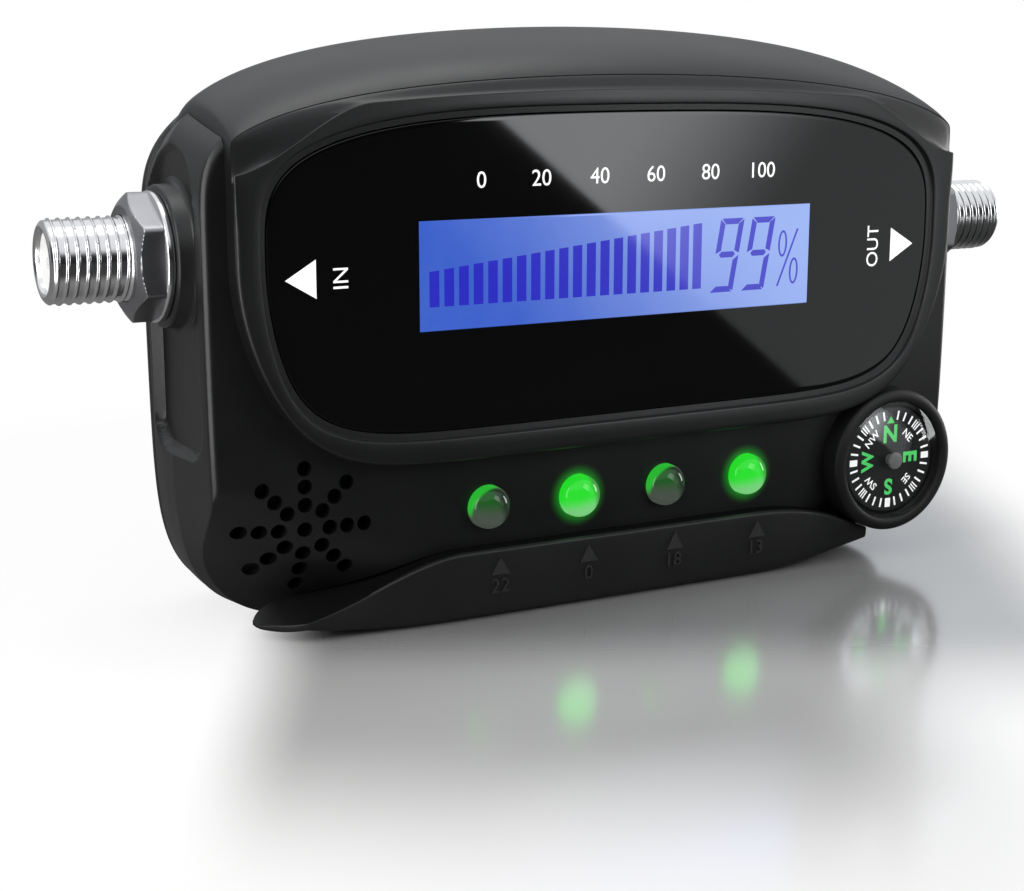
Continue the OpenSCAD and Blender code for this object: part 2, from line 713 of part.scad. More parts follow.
module compass_pivot() color([0.75, 0.72, 0.6]) placed() {
    tip = jewel_d + jewel_t + fit_gap;
    turned([
        [0, tip], [pivot_dia / 4, tip + fit_gap], [pivot_dia / 2, tip + point_l],
        [pivot_dia / 2, cup_d], [0, cup_d]
    ]);
}

module compass_card() color([0.05, 0.05, 0.05]) placed() {
    bore = pivot_dia / 2 + run_gap;
    turned([
        [0, jewel_d], [jewel_dia / 2, jewel_d], [jewel_dia / 2, card_d], [card_r, card_d],
        [card_r, card_d + card_t], [bore, card_d + card_t], [bore, jewel_d + jewel_t], [0, jewel_d + jewel_t]
    ]);
}

module compass_magnet() color([0.4, 0.4, 0.42]) placed() {
    bore = jewel_dia / 2 + lens_t / 2;
    front = card_d + card_t;
    back = front + magnet_t;
    turned([[bore, front], [magnet_dia / 2, front], [magnet_dia / 2, back], [bore, back]]);
}

// Domed lens: an arc from the seat in the ring to its crown, and a second one inside it
module compass_lens() color([0.85, 0.9, 0.95, 0.4]) placed() {
    r = lens_r - fit_gap;
    rise = lens_out - lens_rim;
    outer = (r * r + rise * rise) / (2 * rise);
    inner = outer - lens_t;
    mid = outer - lens_out;
    arcs = 12;
    foot = seat_d - fit_gap;
    turn_out = asin(r / outer);
    turn_in = asin((r - lens_t) / inner);
    turned(concat(
        [for (k = [0:arcs]) [outer * sin(turn_out * k / arcs), mid - outer * cos(turn_out * k / arcs)]],
        [[r, foot], [r - lens_t, foot]],
        [for (k = [arcs:-1:0]) [inner * sin(turn_in * k / arcs), mid - inner * cos(turn_in * k / arcs)]]
    ));
}

// Connectors

module connector(side) color([0.78, 0.78, 0.8]) placed() at_end(side) difference() {
    union() {
        bar(flange_x - flange_t, flange_x, flange_dia / 2);
        bar(flange_x - eps, nut_end, shank_r);
        bar(nut_end - eps, thread_end - thread_chamfer, thread_r);
        translate([thread_end - thread_chamfer, conn_d, 0]) rotate([0, 90, 0])
            cylinder(r1 = thread_r, r2 = thread_r - thread_chamfer, h = thread_chamfer);
    }
    bar(flange_x - far, thread_end + far, port_dia / 2);
}

module insulator(side) color([0.95, 0.95, 0.93]) placed() at_end(side) difference() {
    bar(flange_x - flange_t, thread_end - port_recess, port_dia / 2 - fit_gap / 2);
    bar(0, thread_end + far, wire_dia / 2);
}

// The contact runs from its joint on the board to the connector's mouth
module contact(side) color([0.85, 0.7, 0.35]) placed() at_end(side)
    bar(cavity_half - 2 * board_side, thread_end - contact_recess,
        min(wire_dia / 2 - fit_gap, board_d - conn_d));

module washer(side) color([0.78, 0.78, 0.8]) placed() at_end(side) difference() {
    bar(washer_x, nut_x, washer_dia / 2);
    bar(0, thread_end + far, thread_r + fit_gap);
}

module nut(side) color([0.78, 0.78, 0.8]) placed() at_end(side) difference() {
    translate([nut_x, conn_d, 0]) rotate([0, 90, 0]) intersection() {
        cylinder(d = nut_af / cos(30), h = nut_t, $fn = 6);
        cylinder(r1 = nut_face_r + nut_slope * nut_t, r2 = nut_face_r, h = nut_t);
    }
    bar(0, thread_end + far, thread_r + fit_gap);
}

// Screws

module case_screws() color([0.55, 0.55, 0.57]) placed() for (p = screw_places) difference() {
    slot_l = head_dia * 0.6;
    slot_d = head_seat + head_h / 2;
    union() {
        post(p[0], p[1], screw_tip, head_seat + eps, screw_dia / 2);
        post(p[0], p[1], head_seat, head_seat + head_h, head_dia / 2);
    }
    block(p[0], p[1], slot_l, slot_w, slot_d, body_d + far);
    block(p[0], p[1], slot_w, slot_l, slot_d, body_d + far);
}

lamp_clear = [0.75, 0.8, 0.75];
lamp_green = [0.15, 0.85, 0.2];

front_shell();
rear_shell();
face_cowl();
chin_bar();
display_window();
lcd_glass();
backlight_plate();
lcd_frame();
lcd_pins();
main_board();
tuner_shield();
meter_chip();
buzzer_case();
buzzer_disc();
lamp(0, lamp_clear);  // lamp_1
lamp(1, lamp_green);  // lamp_2
lamp(2, lamp_clear);  // lamp_3
lamp(3, lamp_green);  // lamp_4
lamp_legs();
compass_ring();
compass_cup();
compass_pivot();
compass_card();
compass_magnet();
compass_lens();
connector(-1);  // left_connector
connector(1);  // right_connector
insulator(-1);  // left_insulator
insulator(1);  // right_insulator
contact(-1);  // left_contact
contact(1);  // right_contact
washer(-1);  // left_washer
washer(1);  // right_washer
nut(-1);  // left_nut
nut(1);  // right_nut
case_screws();
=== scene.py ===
"""Looks of a hand-held in-line dish meter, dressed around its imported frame."""

from __future__ import annotations

import logging
import math
from dataclasses import dataclass
from enum import Enum
from functools import cache
from typing import Any, Callable, Iterable, Optional, Sequence, Union

import bmesh
import bpy
import numpy as np
from mathutils import Matrix, Vector

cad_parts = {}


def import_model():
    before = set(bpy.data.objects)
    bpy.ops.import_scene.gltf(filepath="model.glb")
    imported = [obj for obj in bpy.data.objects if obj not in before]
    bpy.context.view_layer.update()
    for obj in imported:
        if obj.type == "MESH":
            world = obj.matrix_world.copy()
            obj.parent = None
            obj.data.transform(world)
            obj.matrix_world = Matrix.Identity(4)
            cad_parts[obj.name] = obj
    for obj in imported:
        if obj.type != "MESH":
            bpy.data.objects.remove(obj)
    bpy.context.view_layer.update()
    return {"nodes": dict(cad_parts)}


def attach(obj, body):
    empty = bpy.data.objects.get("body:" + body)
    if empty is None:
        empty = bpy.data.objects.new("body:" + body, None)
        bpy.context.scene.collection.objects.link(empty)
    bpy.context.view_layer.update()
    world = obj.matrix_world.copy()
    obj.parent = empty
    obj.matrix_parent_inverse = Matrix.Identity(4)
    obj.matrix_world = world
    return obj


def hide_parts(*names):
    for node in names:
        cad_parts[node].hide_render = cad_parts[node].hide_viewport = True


LOG = logging.getLogger("meter")
MM = 0.001
# The face frame: x across, y back from the window plane, z up from the connector axis, in millimetres
FACE_ORIGIN = np.array([0.0, -12.2, 43.4])
HOUSING = "housing"
CARD = "card"
# Places and sizes that several pieces share, in the face frame
LAMP_X = (-17.435, -5.165, 7.105, 19.375)
LAMP_Z = -30.2
LAMP_R = 2.58
COMPASS_X = 40.95
COMPASS_Z = -30.2
CONNECTOR_Y = 13.3

Colour = tuple[float, float, float]
Face = tuple[int, ...]

NO_LIGHT: Colour = (0.0, 0.0, 0.0)
FULL_WHITE: Colour = (1.0, 1.0, 1.0)


class Axis(Enum):
    """Axis that a turned piece goes round."""

    DEPTH = "depth"
    ACROSS = "across"


class Lamp(Enum):
    """State of a lamp."""

    LIT = "lit"
    DARK = "dark"


def ramp(value: np.ndarray, low: float, high: float) -> np.ndarray:
    """Smooth step from 0 at low to 1 at high."""
    t = np.clip((np.asarray(value, float) - low) / (high - low), 0.0, 1.0)
    return t * t * (3.0 - 2.0 * t)


def srgb(red: int, green: int, blue: int) -> Colour:
    """Linear colour of a display colour given in 0 to 255."""
    parts = [v / 255.0 for v in (red, green, blue)]
    return tuple(v / 12.92 if v <= 0.04045 else ((v + 0.055) / 1.055) ** 2.4 for v in parts)


def toned(colour: Colour, factor: float) -> Colour:
    """A colour made darker or paler by a factor."""
    return tuple(c * factor for c in colour)


def full_turn(steps: int) -> np.ndarray:
    """Angles of a whole turn in equal steps."""
    return np.linspace(0.0, 2.0 * math.pi, steps, endpoint=False)


def quarter_turn(parts: int) -> np.ndarray:
    """Angles from 0 to a quarter of a turn, both ends included."""
    return np.linspace(0.0, math.pi / 2.0, parts + 1)


# Shader maths


class Value:
    """A number that varies over a surface, with Python's operators."""

    def __init__(self, graph: Graph, socket: bpy.types.NodeSocket) -> None:
        """Wraps a socket of the graph."""
        self.graph = graph
        self.socket = socket

    def __add__(self, other: Number) -> Value:
        """Sum."""
        return self.graph.math("ADD", self, other)

    def __radd__(self, other: Number) -> Value:
        """Sum, reflected."""
        return self.graph.math("ADD", other, self)

    def __sub__(self, other: Number) -> Value:
        """Difference."""
        return self.graph.math("SUBTRACT", self, other)

    def __rsub__(self, other: Number) -> Value:
        """Difference, reflected."""
        return self.graph.math("SUBTRACT", other, self)

    def __mul__(self, other: Number) -> Value:
        """Product."""
        return self.graph.math("MULTIPLY", self, other)

    def __rmul__(self, other: Number) -> Value:
        """Product, reflected."""
        return self.graph.math("MULTIPLY", other, self)

    def __truediv__(self, other: Number) -> Value:
        """Quotient."""
        return self.graph.math("DIVIDE", self, other)

    def __pow__(self, other: Number) -> Value:
        """Power."""
        return self.graph.math("POWER", self, other)

    def smooth(self, low: float, high: float) -> Value:
        """Smooth step of this value from 0 at low to 1 at high."""
        node = self.graph.node(
            "ShaderNodeMapRange",
            {"interpolation_type": "SMOOTHSTEP"},
            {"Value": self, "From Min": low, "From Max": high},
        )
        return Value(self.graph, node.outputs["Result"])

    def most(self, other: Number) -> Value:
        """The larger of two values."""
        return self.graph.math("MAXIMUM", self, other)


Number = Union[float, Value]


class Graph:
    """Node graph of a material or of the surroundings."""

    def __init__(self, owner: Union[bpy.types.Material, bpy.types.World]) -> None:
        """Starts an empty graph.

        Args:
            owner: the material or world that it belongs to.
        """
        owner.use_nodes = True
        self.owner = owner
        self.tree = owner.node_tree
        self.tree.nodes.clear()

    @classmethod
    def material(cls, name: str) -> Graph:
        """Graph of a new material."""
        return cls(bpy.data.materials.new(name))

    def node(self, kind: str, settings: dict[str, Any], sockets: dict[Any, Any]) -> bpy.types.Node:
        """Adds a node.

        Args:
            kind: type name of the node.
            settings: properties set first, such as a Math node's operation.
            sockets: values or links of its inputs, by name or number.

        Returns:
            The node.
        """
        made = self.tree.nodes.new(kind)
        for key, value in settings.items():
            setattr(made, key, value)
        for key, value in sockets.items():
            link = value.socket if isinstance(value, Value) else value
            if isinstance(link, bpy.types.NodeSocket):
                self.tree.links.new(link, made.inputs[key])
            else:
                made.inputs[key].default_value = link
        return made

    def math(self, operation: str, a: Number, b: Number) -> Value:
        """A Math node on two values."""
        node = self.node("ShaderNodeMath", {"operation": operation}, {0: a, 1: b})
        return Value(self, node.outputs[0])

    def place(self) -> bpy.types.NodeSocket:
        """The point of the surface, in metres in the row frame at rest."""
        return self.node("ShaderNodeTexCoord", {}, {}).outputs["Object"]

    def across(self) -> tuple[Value, Value, Value]:
        """The point of the surface in the face frame, in millimetres.

        Returns:
            Its three coordinates.
        """
        split = self.node("ShaderNodeSeparateXYZ", {}, {0: self.place()})
        parts = []
        for output, origin in zip(split.outputs, FACE_ORIGIN):
            parts.append(Value(self, output) / MM - float(origin))
        return parts[0], parts[1], parts[2]

    def noise(self, size: float, detail: float = 2.0, rough: float = 0.5) -> Value:
        """Noise with patches of a size in millimetres, from 0 to 1."""
        node = self.node(
            "ShaderNodeTexNoise",
            {},
            {"Vector": self.place(), "Scale": 1.0 / (size * MM), "Detail": detail, "Roughness": rough},
        )
        return Value(self, node.outputs[0])

    def blend(self, share: Number, low: Any, high: Any) -> bpy.types.NodeSocket:
        """A colour between two colours."""
        first, last = ((*c, 1.0) if isinstance(c, tuple) else c for c in (low, high))
        return self.node("ShaderNodeMix", {"data_type": "RGBA"}, {0: share, 6: first, 7: last}).outputs[2]

    def relief(self, height: Value, depth: float) -> bpy.types.NodeSocket:
        """A normal that follows a height from 0 to 1, depth in millimetres."""
        node = self.node(
            "ShaderNodeBump", {}, {"Height": height, "Distance": depth * MM, "Strength": 1.0}
        )
        return node.outputs[0]

    def principled(self, sockets: dict[str, Any]) -> bpy.types.NodeSocket:
        """A Principled shader with the given sockets."""
        return self.node("ShaderNodeBsdfPrincipled", {}, sockets).outputs[0]

    def surface(self, sockets: dict[str, Any]) -> None:
        """Puts a Principled shader with the given sockets on the output."""
        self.finish(self.principled(sockets))

    def light_path(self, kind: str) -> Value:
        """1 for rays of the named kind, such as Is Camera Ray."""
        return Value(self, self.node("ShaderNodeLightPath", {}, {}).outputs[kind])

    def glow(self, colour: Colour, strength: float) -> bpy.types.NodeSocket:
        """Plain light of a colour, as an emitter or as surroundings.

        Args:
            colour: its colour.
            strength: its strength.

        Returns:
            The shader.
        """
        world = isinstance(self.owner, bpy.types.World)
        kind = "ShaderNodeBackground" if world else "ShaderNodeEmission"
        return self.node(kind, {}, {"Color": (*colour, 1.0), "Strength": strength}).outputs[0]

    def mixed(
        self, share: Number, low: bpy.types.NodeSocket, high: bpy.types.NodeSocket
    ) -> bpy.types.NodeSocket:
        """A shader between two shaders."""
        return self.node("ShaderNodeMixShader", {}, {0: share, 1: low, 2: high}).outputs[0]

    def finish(self, shader: bpy.types.NodeSocket) -> None:
        """Links a shader to the output.

        Args:
            shader: the shader.
        """
        world = isinstance(self.owner, bpy.types.World)
        kind = "ShaderNodeOutputWorld" if world else "ShaderNodeOutputMaterial"
        self.node(kind, {}, {"Surface": shader})


# Finishes


@dataclass(frozen=True)
class Finish:
    """A finish, which paints one procedural material."""

    name: str

    def paint(self, graph: Graph) -> None:
        """Adds the finish's nodes to a graph."""
        raise NotImplementedError

    @cache
    def material(self) -> bpy.types.Material:
        """The finish's material, made once.

        Returns:
            The material.
        """
        graph = Graph.material(self.name)
        self.paint(graph)
        return graph.owner


@dataclass(frozen=True)
class Moulded(Finish):
    """Moulded plastic with a spark-eroded grain."""

    colour: Colour
    roughness: float = 0.45
    spread: float = 0.12
    grain: float = 0.28
    depth: float = 0.012
    specular: float = 0.5
    mottle: float = 0.25
    patch: float = 9.0

    def grain_sockets(self, graph: Graph) -> dict[str, Any]:
        """Sockets of the plain moulding.

        Args:
            graph: graph of the material.

        Returns:
            Socket values by name.
        """
        skin = graph.noise(self.grain, 3.0, 0.6)
        patch = graph.noise(self.patch, 3.0)
        dark, pale = toned(self.colour, 1.0 - self.mottle), toned(self.colour, 1.0 + self.mottle)
        return {
            "Base Color": graph.blend(patch, dark, pale),
            "Roughness": self.roughness + self.spread * (patch - 0.5) + self.spread * 0.5 * (skin - 0.5),
            "Normal": graph.relief(skin, self.depth),
            "Specular IOR Level": self.specular,
        }

    def paint(self, graph: Graph) -> None:
        """Adds the plain moulding."""
        graph.surface(self.grain_sockets(graph))


@dataclass(frozen=True)
class LampBand(Moulded):
    """Moulded plastic with a painted green glow round each lit lamp, emitted by the band itself."""

    glow: Colour = (0.02, 0.5, 0.03)
    strength: float = 0.4
    lamps: tuple[tuple[float, float], ...] = ()
    radius: float = LAMP_R
    reach: float = 1.5
    front_fade: tuple[float, float] = (2.4, 3.2)

    def paint(self, graph: Graph) -> None:
        """Adds the moulding and a painted glow round each lit lamp.

        Args:
            graph: graph of the material.
        """
        sockets = self.grain_sockets(graph)
        x, y, z = graph.across()
        near: Optional[Value] = None
        for lamp_x, lamp_z in self.lamps:
            across, up = x - lamp_x, z - lamp_z
            gap = (across * across + up * up) ** 0.5 - self.radius
            painted_halo = (1.0 - gap / self.reach).most(0.0) ** 2.0
            near = painted_halo if near is None else near.most(painted_halo)
        front = 1.0 - y.smooth(*self.front_fade)
        # painted glow: the band emits green round the lit lamps, fading off behind its front
        sockets["Emission Color"] = graph.blend(near * front, NO_LIGHT, self.glow)
        sockets["Emission Strength"] = self.strength
        graph.surface(sockets)


@dataclass(frozen=True)
class Ledge(Moulded):
    """Moulded plastic, darker and matt where it lies in a joint: painted shade."""

    start: float = -47.0
    full: float = -37.0
    matt_roughness: float = 0.8
    matt_specular: float = 0.03

    def paint(self, graph: Graph) -> None:
        """Adds the darker moulding and its matt part, which grows in towards the right; both are painted
        shade.

        Args:
            graph: graph of the material.
        """
        sockets = self.grain_sockets(graph)
        bare = graph.principled(sockets)
        matt = {"Roughness": self.matt_roughness, "Specular IOR Level": self.matt_specular}
        x, _, _ = graph.across()
        graph.finish(graph.mixed(x.smooth(self.start, self.full), bare, graph.principled(sockets | matt)))


@dataclass(frozen=True)
class Gloss(Finish):
    """Smooth glossy plastic or glass with faint waves and dust."""

    colour: Colour
    roughness: float = 0.04
    spread: float = 0.03
    ior: float = 1.5
    smear: float = 14.0
    ripple: float = 22.0
    wave: float = 0.004

    def paint(self, graph: Graph) -> None:
        """Adds the glossy surface.

        Args:
            graph: graph of the material.
        """
        smear = graph.noise(self.smear, 3.0)
        graph.surface(
            {
                "Base Color": graph.blend(smear, toned(self.colour, 0.8), self.colour),
                "Roughness": self.roughness + self.spread * smear,
                "Normal": graph.relief(graph.noise(self.ripple, 1.0), self.wave),
                "IOR": self.ior,
            }
        )


@dataclass(frozen=True)
class Backlit(Finish):
    """Backlit display film: blue light that grows paler to one side, a painted reflection along a slanted
    line.
    """

    near: Colour
    far: Colour
    strength: float = 1.0
    start: float = -27.0
    end: float = 27.0
    lean: float = 0.8
    cloud: float = 6.0
    cloud_share: float = 0.1
    deep: Colour = (0.002, 0.003, 0.01)
    pale: Colour = (0.004, 0.006, 0.02)

    def paint(self, graph: Graph) -> None:
        """Adds the lit film, its light paler towards the upper right as a painted reflection.

        Args:
            graph: graph of the material.
        """
        x, _, z = graph.across()
        # painted reflection: the film's light grows paler along a slanted line towards the upper right
        share = (x + z * self.lean).smooth(self.start, self.end)
        cloud = graph.noise(self.cloud, 2.0)
        light = share * (1.0 - self.cloud_share) + cloud * self.cloud_share
        graph.surface(
            {
                "Base Color": graph.blend(cloud, self.deep, self.pale),
                "Roughness": 0.06 + 0.03 * cloud,
                "Emission Color": graph.blend(light, self.near, self.far),
                "Emission Strength": self.strength,
            }
        )


@dataclass(frozen=True)
class Metal(Finish):
    """Plated metal with fine turning marks and wear."""

    colour: Colour
    roughness: float = 0.18
    spread: float = 0.12
    cloud: float = 3.0
    scratch: float = 0.18
    depth: float = 0.002

    def paint(self, graph: Graph) -> None:
        """Adds the plated surface.

        Args:
            graph: graph of the material.
        """
        cloud = graph.noise(self.cloud, 3.0)
        fine = graph.noise(self.scratch, 2.0)
        graph.surface(
            {
                "Base Color": graph.blend(cloud, toned(self.colour, 0.86), self.colour),
                "Metallic": 1.0,
                "Roughness": self.roughness + self.spread * (cloud - 0.5) + 0.05 * (fine - 0.5),
                "Normal": graph.relief(fine, self.depth),
            }
        )


@dataclass(frozen=True)
class Ink(Finish):
    """Printed ink with a faintly uneven film and a painted glow of its own colour."""

    colour: Colour
    roughness: float = 0.4
    light: float = 0.0
    film: float = 0.4

    def paint(self, graph: Graph) -> None:
        """Adds the film of ink and its painted glow.

        Args:
            graph: graph of the material.
        """
        film = graph.noise(self.film, 2.0)
        colour = graph.blend(film, toned(self.colour, 0.88), self.colour)
        graph.surface(
            {
                "Base Color": colour,
                "Roughness": self.roughness + 0.1 * (film - 0.5),
                # painted glow: the ink emits its own colour
                "Emission Color": colour,
                "Emission Strength": self.light,
            }
        )


@dataclass(frozen=True)
class LampResin(Finish):
    """Resin of a lamp's dome, lit from within, or unlit and glowing with painted light: grey below and a
    green edge.
    """

    state: Lamp
    centre: tuple[float, float, float]
    radius: float = LAMP_R
    lit_core: Colour = (0.012, 0.74, 0.018)
    lit_pale: Colour = (0.20, 0.62, 0.22)
    lit_side: Colour = (0.05, 0.26, 0.05)
    painted_top_glow: Colour = (0.001, 0.09, 0.004)
    painted_low_light: Colour = (0.06, 0.07, 0.06)
    painted_side_shade: Colour = (0.012, 0.02, 0.012)
    painted_rim_light: Colour = (0.06, 0.075, 0.06)
    painted_edge_light: Colour = (0.02, 0.5, 0.03)

    def lit(self, graph: Graph, cloud: Value, across: Value, up: Value) -> dict[str, Any]:
        """Sockets of a lit dome: a pale core in saturated green.

        Args:
            graph: graph of the material.
            cloud: unevenness of the resin.
            across: place across the dome, 1 at its edge.
            up: place up the dome, 1 at its edge.

        Returns:
            Socket values by name.
        """
        low = (-1.0 * up + 0.2 * across + 0.15 * cloud).smooth(-0.1, 0.75)
        side = (across + 0.25 * up + 0.08 * cloud).smooth(0.35, 0.85)
        core = graph.blend(low, self.lit_core, self.lit_pale)
        body = graph.blend(side, core, self.lit_side)
        return {"Emission Color": body, "Emission Strength": 0.88, "Base Color": (0.02, 0.10, 0.02, 1.0)}

    def dark(self, graph: Graph, cloud: Value, across: Value, up: Value) -> dict[str, Any]:
        """Sockets of an unlit dome, all painted light that it emits: grey below, dark green above, darker to
        the right, a pale rim and green along its upper left edge.

        Args:
            graph: graph of the material.
            cloud: unevenness of the resin.
            across: place across the dome, 1 at its edge.
            up: place up the dome, 1 at its edge.

        Returns:
            Socket values by name.
        """
        # painted light on the unlit dome: grey light below, painted shade to the right, a pale rim and a
        # green edge light
        spread = (across * across + up * up) ** 0.5
        off_x, off_z = across - 0.16, up + 0.2
        crescent = (off_x * off_x + off_z * off_z) ** 0.5
        low = (-1.0 * up + 0.1 * cloud).smooth(-0.5, 0.45)
        side = (across + 0.4 * up).smooth(0.1, 0.6)
        rim = (spread + 0.04 * cloud).smooth(0.9, 0.99)
        edge = (crescent + 0.03 * cloud).smooth(1.09, 1.2)
        clear = graph.blend(low, self.painted_top_glow, self.painted_low_light)
        deep = graph.blend(side, clear, self.painted_side_shade)
        rimmed = graph.blend(rim, deep, self.painted_rim_light)
        body = graph.blend(edge, rimmed, self.painted_edge_light)
        return {"Emission Color": body, "Emission Strength": 0.9, "Base Color": (0.01, 0.02, 0.01, 1.0)}

    def paint(self, graph: Graph) -> None:
        """Adds the dome's resin.

        Args:
            graph: graph of the material.
        """
        cloud = graph.noise(0.8, 2.0)
        x, _, z = ((v - c) / self.radius for v, c in zip(graph.across(), self.centre))
        inner = self.lit if self.state is Lamp.LIT else self.dark
        graph.surface({**inner(graph, cloud, x, z), "Roughness": 0.05 + 0.04 * cloud, "IOR": 1.38})


@dataclass(frozen=True)
class ClearDome(Finish):
    """Clear acrylic dome: see-through, with reflections that grow towards its edge."""

    base: float = 0.04
    edge: float = 0.35
    smear: float = 5.0
    dull: Colour = (0.7, 0.72, 0.72)
    bright: Colour = (0.8, 0.82, 0.82)

    def paint(self, graph: Graph) -> None:
        """Adds the clear body and its reflection.

        Args:
            graph: graph of the material.
        """
        smear = graph.noise(self.smear, 1.0)
        weight = graph.node("ShaderNodeLayerWeight", {}, {"Blend": 0.25})
        share = self.base + self.edge * Value(graph, weight.outputs["Facing"]) ** 3.0 + 0.004 * smear
        clear = graph.node("ShaderNodeBsdfTransparent", {}, {}).outputs[0]
        sheen = graph.principled(
            {
                "Base Color": graph.blend(smear, self.dull, self.bright),
                "Metallic": 1.0,
                "Roughness": 0.015 + 0.01 * smear,
            }
        )
        graph.finish(graph.mixed(share, clear, sheen))


class Finishes(Enum):
    """Finishes of the meter's pieces."""

    COWL = Moulded("cowl_moulding", (0.0052, 0.0054, 0.0058), roughness=0.40)
    # painted glow: the shell's lamp band emits green round the two lit lamps
    SHELL = LampBand(
        "shell_moulding_painted_glow",
        (0.0045, 0.0046, 0.0049),
        roughness=0.38,
        lamps=((LAMP_X[1], LAMP_Z), (LAMP_X[3], LAMP_Z)),
    )
    REAR = Moulded("rear_moulding", (0.0055, 0.0056, 0.006), roughness=0.48, depth=0.02)
    CHIN = Moulded("chin_moulding", (0.0058, 0.0059, 0.0062), roughness=0.44)
    # painted light: the raised marks are a paler copy of the chin's moulding
    MARK = Moulded("mark_moulding_painted_light", (0.017, 0.017, 0.018), roughness=0.5)
    # painted shade: a darker, matt copy of the chin's moulding for its ledge
    LEDGE = Ledge("ledge_painted_shade", (0.0045, 0.0045, 0.0048), roughness=0.44)
    RING = Moulded("ring_moulding", (0.006, 0.006, 0.0063), roughness=0.55, depth=0.005, specular=0.3)
    WINDOW = Gloss("window_gloss", (0.0018, 0.0018, 0.002))
    # painted reflection: the display film and its segments grow paler to one side
    DISPLAY = Backlit("display_blue", srgb(50, 90, 198), srgb(158, 182, 242))
    SEGMENT = Backlit("segment_blue", srgb(40, 40, 188), srgb(72, 72, 196))
    # painted glow: both inks emit light of their own colour
    WHITE = Ink("white_ink_painted_glow", (0.78, 0.78, 0.78), light=0.6)
    GREEN = Ink("green_ink_painted_glow", (0.05, 0.48, 0.10), light=0.6)
    NICKEL = Metal("nickel_plate", (0.82, 0.82, 0.83), roughness=0.17, spread=0.06)
    NUT = Metal("nut_plate", (0.34, 0.34, 0.355), roughness=0.36, depth=0.004)
    TIN = Metal("tin_plate", (0.68, 0.68, 0.70), roughness=0.35)
    BRASS = Metal("brass_sheet", (0.78, 0.60, 0.28), roughness=0.28)
    STEEL = Metal("screw_blued", (0.32, 0.32, 0.33), roughness=0.35)
    MAGNET = Metal("magnet_alloy", (0.25, 0.25, 0.26), roughness=0.45)
    INSULATOR = Moulded("insulator_resin", (0.78, 0.78, 0.75), roughness=0.4, mottle=0.06)
    DIFFUSER = Moulded("diffuser_sheet", (0.8, 0.82, 0.85), roughness=0.5, mottle=0.05)
    FRAME = Moulded("frame_moulding", (0.02, 0.02, 0.02), roughness=0.5)
    BOARD = Moulded("board_mask", (0.012, 0.09, 0.04), roughness=0.35, grain=0.6)
    CARD = Moulded("card_film", (0.005, 0.005, 0.0055), roughness=0.5, depth=0.004)
    JEWEL = Moulded("jewel_grey", (0.12, 0.12, 0.12), roughness=0.5, depth=0.003)
    CUP = Moulded("cup_moulding", (0.008, 0.008, 0.0085), roughness=0.3)
    DOME = ClearDome("dome_acrylic")

    def material(self) -> bpy.types.Material:
        """The finish's material."""
        return self.value.material()


# Shapes


